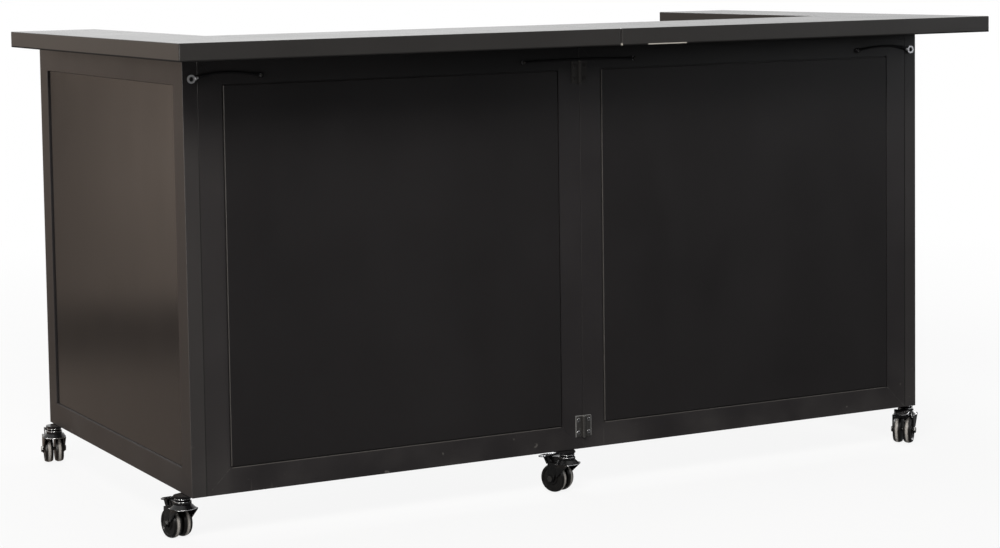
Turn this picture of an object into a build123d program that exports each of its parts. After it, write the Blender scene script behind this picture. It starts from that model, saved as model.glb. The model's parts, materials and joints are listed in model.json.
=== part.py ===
from build123d import *
import os
from math import cos, radians, sin, tan

os.makedirs("parts", exist_ok=True)

# A portable bar: a U of four framed panels on five swivel casters, under a top in two halves.
# All sizes are in millimetres. +X runs along the front, -Y is the guests' side and +Z is up.

# Body
body_length = 1944.0
body_depth = 964.0
body_height = 940.0
caster_height = 97.0

# Counter top, in two L-shaped halves
top_thickness = 38.0
front_overhang = 185.0
side_overhang = 77.0
counter_depth = 390.0
return_width = 215.0
return_setback = 15.0
seam_gap = 1.0
top_corner_radius = 4.0
top_edge_break = 1.0

# Rubber pads between the tops and the frames
pad_thickness = 3.0
pad_size = 24.0
pad_inset = 120.0
pad_rows = 3

# Mitred tube frames, with a fin behind the board
tube_face = 56.0
tube_depth = 33.0
tube_wall = 2.0
fin_width = 12.0
fin_thickness = 2.0
mitre_gap = 0.2
edge_break = 0.6
fold_gap = 0.5

# Boards: the end ones are inset, and the front ones stand a little out of their frames
board_thickness = 6.0
end_board_recess = 4.0
end_board_gap = 0.5
front_board_rise = 2.0
front_board_gap = 3.0
board_edge_break = 0.6

# Butt hinges
hinge_height = 50.0
leaf_width = 21.0
leaf_thickness = 1.8
leaf_corner_radius = 3.0
knuckle_radius = 4.0
knuckle_gap = 0.3
knuckle_standoff = 0.4
hinge_pin_radius = 2.5
hinge_pin_head_radius = 3.2
hinge_pin_head_height = 1.2
running_fit = 0.05
hinge_rise = 53.0
hinge_drop = 63.0

# Ties across the panel joints, hung at drops from the heads of the frames
tie_radius = 2.75
tie_standoff = 4.5
ring_radius = 9.25
ring_hole_radius = 5.25
ring_thickness = 3.0
ring_shoulder_radius = 7.0
ring_inset = 19.0
ring_drop = 42.0
tongue_length = 10.0
tongue_width = 4.0
tongue_thickness = 2.0
stud_radius = 2.0
stud_length = 7.5
stud_base_radius = 4.5
stud_base_height = 1.0
stud_tip_break = 0.6
eye_wall = 2.2
loose_eye_clearance = 2.2
close_eye_clearance = 0.3
corner_stud_inset = 178.0
corner_stud_drop = 39.0
centre_stud_offset = 147.0
centre_stud_drop = 35.5

# Casters
caster_inset = 45.0
caster_outset = 5.0
centre_caster_offset = 48.0
caster_seat_gap = 0.3
plate_length = 56.0
plate_setback = 12.0
plate_margin = 2.0
plate_thickness = 2.5
plate_ear_radius = 20.0
plate_corner_radius = 3.0
race_radius = 17.5
race_depth = 8.5
race_edge_radius = 2.5
swivel_gap = 0.4
swivel_radius = 19.5
swivel_depth = 9.0
swivel_edge_radius = 3.8
neck_radius = 15.5
kingpin_radius = 5.0
kingpin_head_radius = 8.0
kingpin_head_height = 2.5
crown_drop = 27.0
crown_thickness = 3.0
crown_radius = 22.0
crown_square_start = 12.0
crown_back = 36.0
crown_edge_radius = 2.0
fork_width = 54.0
arm_thickness = 3.0
arm_front = 9.0
axle_boss_radius = 9.5
axle_trail = 28.0
axle_radius = 4.0
axle_head_across = 13.0
axle_head_height = 3.5
wheel_radius = 33.0
wheel_width = 19.5
wheel_gap = 6.0
tread_crown = 3.2
rim_radius = 25.0
hub_radius = 14.0
web_recess = 2.5
web_slope = 1.5
wheel_fit = 0.1
pedal_length = 78.0
pedal_width = 36.0
pedal_thickness = 2.5
pedal_slope = 8.0
pedal_barrel_radius = 3.6
pedal_pin_radius = 2.0
pedal_ear_thickness = 2.5
pedal_side_gap = 0.5
pedal_crown_gap = 0.6
pedal_pin_drop = 15.0
shoe_angle = 30.0
shoe_width = 30.0
shoe_thickness = 5.0
shoe_tread_gap = 3.0

# Headings of the casters in degrees: the way each fork trails, turned from +X towards +Y
heading_left_front = 98.0
heading_left_rear = 78.0
heading_centre = 113.0
heading_right_front = 221.0
heading_right_rear = 60.0

# Places worked out from the sizes above, with the origin under the middle of the whole bar
rear_reach = pedal_length - caster_inset
plan_depth = front_overhang + body_depth + rear_reach
left_x = -body_length / 2
right_x = body_length / 2
front_y = front_overhang - plan_depth / 2
rear_y = front_y + body_depth
base_z = caster_height
top_z = base_z + body_height
frame_height = body_height - pad_thickness
frame_mid_z = base_z + frame_height / 2
front_width = body_length / 2 - tube_depth - 1.5 * fold_gap
front_mid_x = (front_width + fold_gap) / 2
side_mid_y = (front_y + rear_y) / 2


def write(part, label):
    """Name a finished piece and write it as its own node."""
    part.label = label
    export_step(part, f"parts/{label}.step")


def write_mirrored(part, label):
    """Write the right-hand twin of a piece."""
    with BuildPart() as twin:
        mirror(part, about=Plane.YZ)
    write(twin.part, label)


# Mitred frames and boards

def mitred_strips(width, height, near, far):
    """Draw the four sides of a frame between two depths from its outline, parted at the mitres."""
    for turn in (0, 90, 180, 270):
        run, across = (width, height) if turn % 180 == 0 else (height, width)
        near_half = run / 2 - near - mitre_gap / 2
        far_half = run / 2 - far - mitre_gap / 2
        near_line = near - across / 2
        far_line = far - across / 2
        with Locations(Location((0, 0, 0), (0, 0, turn))):
            Polygon(
                (-near_half, near_line),
                (near_half, near_line),
                (far_half, far_line),
                (-far_half, far_line),
                align=None,
            )


def tube_frame(face, width, height, board_depth):
    """Four hollow mitred tubes. The plane lies on the outer face, with its normal pointing inwards."""
    depth_axis = Axis(face.origin, face.z_dir)
    with BuildPart() as frame:
        with BuildSketch(face):
            mitred_strips(width, height, 0, tube_face)
        extrude(amount=tube_depth)
        long_edges = frame.faces().group_by(depth_axis)[0].edges()
        long_edges = long_edges.filter_by(lambda edge: edge.length > 2 * tube_face)
        chamfer(long_edges, length=edge_break)
        with BuildSketch(face.offset(tube_wall)):
            mitred_strips(width, height, tube_wall, tube_face - tube_wall)
        extrude(amount=tube_depth - 2 * tube_wall, mode=Mode.SUBTRACT)
        with BuildSketch(face.offset(board_depth + board_thickness)):
            mitred_strips(width, height, tube_face, tube_face + fin_width)
        extrude(amount=fin_thickness)
    return frame.part


def framed_board(face, width, height, board_depth, gap):
    """The flat board that lies on the fins, this far behind the face of its frame, or in front if below 0."""
    border = 2 * (tube_face + gap)
    with BuildPart() as board:
        with BuildSketch(face.offset(board_depth)):
            Rectangle(width - border, height - border)
        extrude(amount=board_thickness)
        outer_face = board.faces().sort_by(Axis(face.origin, face.z_dir))[0]
        chamfer(outer_face.edges(), length=board_edge_break)
    return board.part


left_end_face = Plane(origin=(left_x, side_mid_y, frame_mid_z), x_dir=(0, 1, 0), z_dir=(1, 0, 0))
front_left_face = Plane(origin=(-front_mid_x, front_y, frame_mid_z), x_dir=(-1, 0, 0), z_dir=(0, 1, 0))

left_end_frame = tube_frame(left_end_face, body_depth, frame_height, end_board_recess)
write(left_end_frame, "frame_left_end")
write_mirrored(left_end_frame, "frame_right_end")
front_left_frame = tube_frame(front_left_face, front_width, frame_height, -front_board_rise)
write(front_left_frame, "frame_front_left")
write_mirrored(front_left_frame, "frame_front_right")

left_end_board = framed_board(left_end_face, body_depth, frame_height, end_board_recess, end_board_gap)
write(left_end_board, "board_left_end")
write_mirrored(left_end_board, "board_right_end")
front_left_board = framed_board(
    front_left_face, front_width, frame_height, -front_board_rise, front_board_gap
)
write(front_left_board, "board_front_left")
write_mirrored(front_left_board, "board_front_right")


# Counter tops and the pads under them

top_left_x = left_x - side_overhang
top_front_y = front_y - front_overhang
counter_rear_y = top_front_y + counter_depth
return_inner_x = top_left_x + return_width
return_rear_y = rear_y - return_setback
seam_x = -seam_gap / 2

with BuildPart() as top_left:
    with BuildSketch(Plane.XY.offset(top_z)) as top_plan:
        with BuildLine():
            Polyline(
                (top_left_x, top_front_y),
                (seam_x, top_front_y),
                (seam_x, counter_rear_y),
                (return_inner_x, counter_rear_y),
                (return_inner_x, return_rear_y),
                (top_left_x, return_rear_y),
                close=True,
            )
        make_face()
        fillet(top_plan.vertices(), radius=top_corner_radius)
    extrude(amount=top_thickness)
    chamfer(top_left.faces().filter_by(Axis.Z).edges(), length=top_edge_break)
write(top_left.part, "top_left")
write_mirrored(top_left.part, "top_right")

front_pad_span = front_width - 2 * pad_inset
side_pad_span = body_depth - 2 * pad_inset
with BuildPart() as pads_left:
    with BuildSketch(Plane.XY.offset(top_z - pad_thickness)):
        with Locations((-front_mid_x, front_y + tube_depth / 2)):
            with GridLocations(front_pad_span / (pad_rows - 1), 0, pad_rows, 1):
                Rectangle(pad_size, pad_size)
        with Locations((left_x + tube_depth / 2, side_mid_y)):
            with GridLocations(0, side_pad_span / (pad_rows - 1), 1, pad_rows):
                Rectangle(pad_size, pad_size)
    extrude(amount=pad_thickness)
write(pads_left.part, "pads_left")
write_mirrored(pads_left.part, "pads_right")


# Butt hinges

knuckle_offset = knuckle_radius + knuckle_standoff
knuckle_pitch = hinge_height / 3
hinge_heights = (base_z + hinge_rise, base_z + frame_height - hinge_drop)


def hinge_leaf(axis_x, axis_y, along, out, knuckles):
    """Leaves of a hinge line. They run along one way from the pin, and their pin stands out another way."""
    knuckle_length = knuckle_pitch - knuckle_gap
    with BuildPart() as leaves:
        for mid_z in hinge_heights:
            seat = Vector(axis_x, axis_y, mid_z) - Vector(*out) * knuckle_offset
            with BuildSketch(Plane(origin=seat, x_dir=along, z_dir=out)) as leaf_plan:
                with Locations((leaf_width / 2, 0)):
                    Rectangle(leaf_width, hinge_height)
                outer_corners = leaf_plan.vertices().group_by(Axis(seat, along))[-1]
                fillet(outer_corners, radius=leaf_corner_radius)
            extrude(amount=leaf_thickness)
        for mid_z in hinge_heights:
            for step in (-1, 0, 1):
                foot_z = mid_z + step * knuckle_pitch - knuckle_length / 2
                foot = Plane(origin=(axis_x, axis_y, foot_z))
                if step in knuckles:
                    with BuildSketch(foot):
                        Circle(knuckle_radius)
                    extrude(amount=knuckle_length)
                    with BuildSketch(foot):
                        Circle(hinge_pin_radius + running_fit)
                    extrude(amount=knuckle_length, mode=Mode.SUBTRACT)
                else:
                    notch_z = mid_z + step * knuckle_pitch - knuckle_pitch / 2
                    with BuildSketch(Plane(origin=(axis_x, axis_y, notch_z - knuckle_gap / 2))):
                        Circle(knuckle_radius + knuckle_standoff)
                    extrude(amount=knuckle_pitch + knuckle_gap, mode=Mode.SUBTRACT)
    return leaves.part


def hinge_pins(axis_x, axis_y):
    """Headed pins of a hinge line."""
    with BuildPart() as pins:
        for mid_z in hinge_heights:
            foot_z = mid_z - hinge_height / 2
            with BuildSketch(Plane(origin=(axis_x, axis_y, foot_z))):
                Circle(hinge_pin_radius)
            extrude(amount=hinge_height)
            for head_z in (foot_z - hinge_pin_head_height, foot_z + hinge_height):
                with BuildSketch(Plane(origin=(axis_x, axis_y, head_z))):
                    Circle(hinge_pin_head_radius)
                extrude(amount=hinge_pin_head_height)
    return pins.part


centre_axis_y = front_y - knuckle_offset
centre_leaves_left = hinge_leaf(0, centre_axis_y, (-1, 0, 0), (0, -1, 0), (-1, 1))
centre_leaves_right = hinge_leaf(0, centre_axis_y, (1, 0, 0), (0, -1, 0), (0,))
centre_pins = hinge_pins(0, centre_axis_y)
write(centre_leaves_left, "centre_hinge_leaves_left")
write(centre_leaves_right, "centre_hinge_leaves_right")
write(centre_pins, "centre_hinge_pins")

corner_axis_x = left_x + tube_depth + knuckle_offset
corner_axis_y = front_y + tube_depth + knuckle_offset
corner_leaves_front = hinge_leaf(corner_axis_x, corner_axis_y, (1, 0, 0), (0, 1, 0), (-1, 1))
corner_leaves_end = hinge_leaf(corner_axis_x, corner_axis_y, (0, 1, 0), (1, 0, 0), (0,))
corner_pins = hinge_pins(corner_axis_x, corner_axis_y)
write(corner_leaves_front, "left_hinge_leaves_front")
write(corner_leaves_end, "left_hinge_leaves_end")
write(corner_pins, "left_hinge_pins")
write_mirrored(corner_leaves_front, "right_hinge_leaves_front")
write_mirrored(corner_leaves_end, "right_hinge_leaves_end")
write_mirrored(corner_pins, "right_hinge_pins")


# Ties, drawn in the plane that stands off from the front face, with x along the front and y up

def tie_plane(x):
    """The plane of the ties, with its origin above x at the foot of the frames."""
    return Plane(origin=(x, front_y - tie_standoff, base_z), x_dir=(1, 0, 0), z_dir=(0, -1, 0))


def tie_cable(plane, points, name):
    """A round cable along straight runs joined by arcs as large as the runs allow."""
    route = [Vector(*point) for point in points]
    radii = []
    for before, corner, after in zip(route, route[1:], route[2:]):
        turn = (corner - before).get_angle(after - corner)
        shorter = min((corner - before).length, (after - corner).length)
        radii.append(0.45 * shorter / tan(radians(turn / 2)))
    print(f"{name}: radii {[round(radius) for radius in radii]} mm")
    with BuildLine(plane) as path:
        FilletPolyline(*points, radius=radii)
    with BuildSketch(Plane(origin=path.line @ 0, z_dir=path.line % 0)) as section:
        Circle(tie_radius)
    sweep(section.sketch, path=path.line)


def tie_eye(plane, centre, clearance):
    """An eye at the end of a cable, round a stud."""
    with BuildSketch(plane.offset(-ring_thickness / 2)) as rim:
        with Locations(centre):
            Circle(stud_radius + clearance + eye_wall)
    extrude(rim.sketch, amount=ring_thickness)
    with BuildSketch(plane.offset(-tie_radius)) as hole:
        with Locations(centre):
            Circle(stud_radius + clearance)
    extrude(hole.sketch, amount=2 * tie_radius, mode=Mode.SUBTRACT)


corner_plane = tie_plane(left_x)
ring_height = frame_height - ring_drop
corner_stud_height = frame_height - corner_stud_drop
centre_stud_height = frame_height - centre_stud_drop
ring_centre = (ring_inset, ring_height)
corner_stud = (corner_stud_inset, corner_stud_height)
corner_run = corner_stud_inset - ring_inset
loose_eye_reach = stud_radius + loose_eye_clearance + eye_wall / 2
close_eye_reach = stud_radius + close_eye_clearance + eye_wall / 2
corner_points = (
    (ring_inset + ring_radius + 0.3, ring_height + 0.9),
    (ring_inset + 0.17 * corner_run, ring_height + 7.0),
    (ring_inset + 0.36 * corner_run, ring_height + 11.6),
    (ring_inset + 0.62 * corner_run, ring_height + 11.4),
    (ring_inset + 0.83 * corner_run, ring_height + 7.6),
    (corner_stud_inset - loose_eye_reach, corner_stud_height + 0.8),
)
first_point = Vector(*corner_points[0])
first_run = Vector(*corner_points[1]) - first_point
tongue_angle = first_run.get_signed_angle(Vector(1, 0, 0), Vector(0, 0, -1))


def tongue(clearance, mode=Mode.ADD):
    """The flat tongue of the ring, which reaches into the end of the cable."""
    thickness = tongue_thickness + 2 * clearance
    with BuildSketch(corner_plane.offset(-thickness / 2)) as blade:
        with Locations(Location((first_point.X, first_point.Y, 0), (0, 0, tongue_angle))):
            Rectangle(2 * (tongue_length + clearance), tongue_width + 2 * clearance)
    extrude(blade.sketch, amount=thickness, mode=mode)


with BuildPart() as corner_tie:
    tie_cable(corner_plane, corner_points, "corner tie")
    tie_eye(corner_plane, corner_stud, loose_eye_clearance)
    tongue(running_fit, mode=Mode.SUBTRACT)
write(corner_tie.part, "left_tie_cable")
write_mirrored(corner_tie.part, "right_tie_cable")

with BuildPart() as corner_ring:
    tongue(0)
    with BuildSketch(corner_plane.offset(-ring_thickness / 2)):
        with Locations(ring_centre):
            Circle(ring_radius)
    extrude(amount=ring_thickness)
    with BuildSketch(corner_plane.offset(-tie_standoff)):
        with Locations(ring_centre):
            Circle(ring_shoulder_radius)
    extrude(amount=tie_standoff)
    with BuildSketch(corner_plane.offset(-tie_standoff)):
        with Locations(ring_centre):
            Circle(ring_hole_radius)
    extrude(amount=2 * tie_standoff, mode=Mode.SUBTRACT)
write(corner_ring.part, "left_tie_ring")
write_mirrored(corner_ring.part, "right_tie_ring")

centre_plane = tie_plane(0)
half_span = centre_stud_offset - close_eye_reach
centre_left_points = (
    (-half_span, centre_stud_height + 0.2),
    (-0.61 * half_span, centre_stud_height + 2.3),
    (-0.21 * half_span, centre_stud_height + 3.3),
)
centre_right_points = tuple((-x, y) for x, y in reversed(centre_left_points))
with BuildPart() as centre_tie:
    tie_cable(centre_plane, centre_left_points + centre_right_points, "centre tie")
    for side in (-1, 1):
        tie_eye(centre_plane, (side * centre_stud_offset, centre_stud_height), close_eye_clearance)
write(centre_tie.part, "centre_tie_cable")

with BuildPart() as studs_left:
    for x, height in (
        (left_x + corner_stud_inset, corner_stud_height),
        (-centre_stud_offset, centre_stud_height),
    ):
        seat = Plane(origin=(x, front_y, base_z + height), x_dir=(1, 0, 0), z_dir=(0, -1, 0))
        with BuildSketch(seat):
            Circle(stud_base_radius)
        extrude(amount=stud_base_height)
        with BuildSketch(seat):
            Circle(stud_radius)
        extrude(amount=stud_length)
    tips = studs_left.faces().filter_by(Axis.Y).group_by(Axis.Y)[0]
    chamfer(tips.edges(), length=stud_tip_break)
write(studs_left.part, "tie_studs_left")
write_mirrored(studs_left.part, "tie_studs_right")


# One caster about its swivel axis, under z = 0, with its fork trailing towards +X

plate_top = -caster_seat_gap
plate_bottom = plate_top - plate_thickness
race_bottom = plate_bottom - race_depth
swivel_top = race_bottom - swivel_gap
swivel_bottom = swivel_top - swivel_depth
crown_top = -crown_drop
crown_bottom = crown_top - crown_thickness
kingpin_head_top = crown_bottom - caster_seat_gap
axle_z = wheel_radius - caster_height
pedal_pin_x = crown_back + pedal_barrel_radius + pedal_crown_gap
pedal_pin_z = -pedal_pin_drop


def disc(radius, low, high, mode=Mode.ADD):
    """A round stage of the swivel stack."""
    with BuildSketch(Plane.XY.offset(low)) as outline:
        Circle(radius)
    extrude(outline.sketch, amount=high - low, mode=mode)


def side_plane(y):
    """A plane across the caster at y, with its x along the trail, its y up and its normal along -Y."""
    return Plane(origin=(0, y, 0), x_dir=(1, 0, 0), z_dir=(0, -1, 0))


# The plate lies under the rail along X here, with its round ear standing out of the rail towards -Y.
with BuildPart() as caster_plate:
    with BuildSketch(Plane.XY.offset(plate_bottom)):
        with Locations((0, caster_outset + (plate_setback + tube_depth - plate_margin) / 2)):
            RectangleRounded(plate_length, tube_depth - plate_setback - plate_margin, plate_corner_radius)
        Circle(plate_ear_radius)
        make_hull()
    extrude(amount=plate_thickness)
    disc(race_radius, race_bottom, plate_bottom)
    fillet(caster_plate.faces().sort_by(Axis.Z)[0].edges(), radius=race_edge_radius)
    disc(kingpin_radius, kingpin_head_top, race_bottom)
    disc(kingpin_head_radius, kingpin_head_top - kingpin_head_height, kingpin_head_top)

with BuildPart() as caster_fork:
    with BuildSketch(Plane.XY.offset(crown_bottom)):
        Circle(crown_radius)
        with Locations(((crown_square_start + crown_back) / 2, 0)):
            Rectangle(crown_back - crown_square_start, fork_width)
        make_hull()
    extrude(amount=crown_thickness)
    fillet(caster_fork.faces().sort_by(Axis.Z)[-1].edges(), radius=crown_edge_radius)
    with BuildSketch(side_plane(fork_width / 2)):
        with Locations((axle_trail, axle_z)):
            Circle(axle_boss_radius)
        with Locations(((arm_front + crown_back) / 2, crown_bottom + crown_thickness / 2)):
            Rectangle(crown_back - arm_front, crown_thickness)
        make_hull()
        with Locations((axle_trail, axle_z)):
            Circle(axle_radius + running_fit, mode=Mode.SUBTRACT)
    extrude(amount=arm_thickness)
    with BuildSketch(side_plane(pedal_width / 2 + pedal_side_gap + pedal_ear_thickness)):
        with Locations((pedal_pin_x, pedal_pin_z)):
            Circle(pedal_barrel_radius)
        with Locations((crown_back - pedal_barrel_radius, crown_bottom + crown_thickness / 2)):
            Rectangle(2 * pedal_barrel_radius, crown_thickness)
        make_hull()
        with Locations((pedal_pin_x, pedal_pin_z)):
            Circle(pedal_pin_radius + running_fit, mode=Mode.SUBTRACT)
    extrude(amount=pedal_ear_thickness)
    mirror(about=Plane.XZ)
    disc(neck_radius, crown_top, swivel_bottom)
    disc(swivel_radius, swivel_bottom, swivel_top)
    swivel_rims = caster_fork.edges().filter_by(GeomType.CIRCLE)
    fillet(swivel_rims.filter_by(lambda edge: edge.radius == swivel_radius), radius=swivel_edge_radius)
    disc(kingpin_radius + running_fit, crown_bottom, swivel_top, mode=Mode.SUBTRACT)

with BuildPart() as caster_axle:
    with BuildSketch(side_plane(fork_width / 2)):
        with Locations((axle_trail, axle_z)):
            Circle(axle_radius)
    extrude(amount=fork_width)
    for outer_y in (fork_width / 2 + axle_head_height, -fork_width / 2):
        with BuildSketch(side_plane(outer_y)):
            with Locations((axle_trail, axle_z)):
                RegularPolygon(axle_head_across / 2, 6, major_radius=False)
        extrude(amount=axle_head_height)

# The wheel's section has x across the wheel and y out from the axle: a crowned tread and a sunk web.
wheel_inner = wheel_gap / 2
wheel_outer = wheel_inner + wheel_width
bore_radius = axle_radius + wheel_fit
shoulder_radius = wheel_radius - tread_crown
with BuildPart() as caster_wheel:
    with BuildSketch(Plane(origin=(axle_trail, 0, axle_z), x_dir=(0, 1, 0), z_dir=(1, 0, 0))):
        with BuildLine():
            ThreePointArc(
                (wheel_inner, shoulder_radius),
                ((wheel_inner + wheel_outer) / 2, wheel_radius),
                (wheel_outer, shoulder_radius),
            )
            Polyline(
                (wheel_outer, shoulder_radius),
                (wheel_outer, rim_radius),
                (wheel_outer - web_recess, rim_radius - web_slope),
                (wheel_outer - web_recess, hub_radius + web_slope),
                (wheel_outer, hub_radius),
                (wheel_outer, bore_radius),
                (wheel_inner, bore_radius),
                (wheel_inner, shoulder_radius),
            )
        make_face()
    revolve(axis=Axis((axle_trail, 0, axle_z), (0, 1, 0)))

with BuildPart() as caster_wheel_twin:
    mirror(caster_wheel.part, about=Plane.XZ)

# The shoe stands square to the tread, this far round from the top, and is clear of it with the brake off.
shoe_turn = radians(shoe_angle)
slope = radians(pedal_slope)
shoe_foot = wheel_radius + shoe_tread_gap
pedal_rise = pedal_pin_z - axle_z + (pedal_pin_x - axle_trail) * tan(slope)
shoe_head = pedal_rise / (cos(shoe_turn) + sin(shoe_turn) * tan(slope))
shoe_mid = (shoe_foot + shoe_head) / 2
shoe_place = (axle_trail + shoe_mid * sin(shoe_turn), axle_z + shoe_mid * cos(shoe_turn), 0)
pedal_run = pedal_length - pedal_width / 2 - pedal_pin_x
pedal_plane = Plane(
    origin=(pedal_pin_x, 0, pedal_pin_z),
    x_dir=(cos(slope), 0, -sin(slope)),
    z_dir=(sin(slope), 0, cos(slope)),
)
with BuildPart() as caster_pedal:
    with BuildSketch(pedal_plane.offset(-pedal_thickness / 2)):
        with Locations((pedal_run / 2, 0)):
            Rectangle(pedal_run, pedal_width)
        with Locations((pedal_run, 0)):
            Circle(pedal_width / 2)
    extrude(amount=pedal_thickness)
    with BuildSketch(side_plane(shoe_width / 2)):
        with Locations(Location(shoe_place, (0, 0, -shoe_angle))):
            Rectangle(shoe_thickness, shoe_head - shoe_foot)
    extrude(amount=shoe_width)
    with BuildSketch(side_plane(pedal_width / 2)):
        with Locations((pedal_pin_x, pedal_pin_z)):
            Circle(pedal_barrel_radius)
    extrude(amount=pedal_width)
    pin_half = pedal_width / 2 + pedal_side_gap + pedal_ear_thickness
    with BuildSketch(side_plane(pin_half)):
        with Locations((pedal_pin_x, pedal_pin_z)):
            Circle(pedal_pin_radius)
    extrude(amount=2 * pin_half)


# The five casters: the place and the heading of each, and the turn of its rail from the front's

caster_places = {
    "left_front": (left_x - caster_outset, front_y + caster_inset, heading_left_front, -90),
    "left_rear": (left_x - caster_outset, rear_y - caster_inset, heading_left_rear, -90),
    "right_front": (right_x + caster_outset, front_y + caster_inset, heading_right_front, 90),
    "right_rear": (right_x + caster_outset, rear_y - caster_inset, heading_right_rear, 90),
    "centre": (-centre_caster_offset, front_y - caster_outset, heading_centre, 0),
}
swivelling = {
    "fork": caster_fork,
    "axle": caster_axle,
    "wheel_a": caster_wheel,
    "wheel_b": caster_wheel_twin,
    "pedal": caster_pedal,
}
for place, (x, y, heading, rail_turn) in caster_places.items():
    turned = Location((x, y, base_z), (0, 0, heading))
    for piece, builder in swivelling.items():
        write(builder.part.moved(turned), f"caster_{place}_{piece}")

# The plates stay on the panels, so the two under one end panel share a node.
for panel in ("left", "right", "centre"):
    with BuildPart() as plates:
        for place, (x, y, heading, rail_turn) in caster_places.items():
            if place.startswith(panel):
                add(caster_plate.part.moved(Location((x, y, base_z), (0, 0, rail_turn))))
    write(plates.part, f"caster_plates_{panel}")
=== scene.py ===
"""Dresses a portable bar: finishes for its CAD pieces, ties, screws, caster fittings and a studio."""

import json
import math

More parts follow.
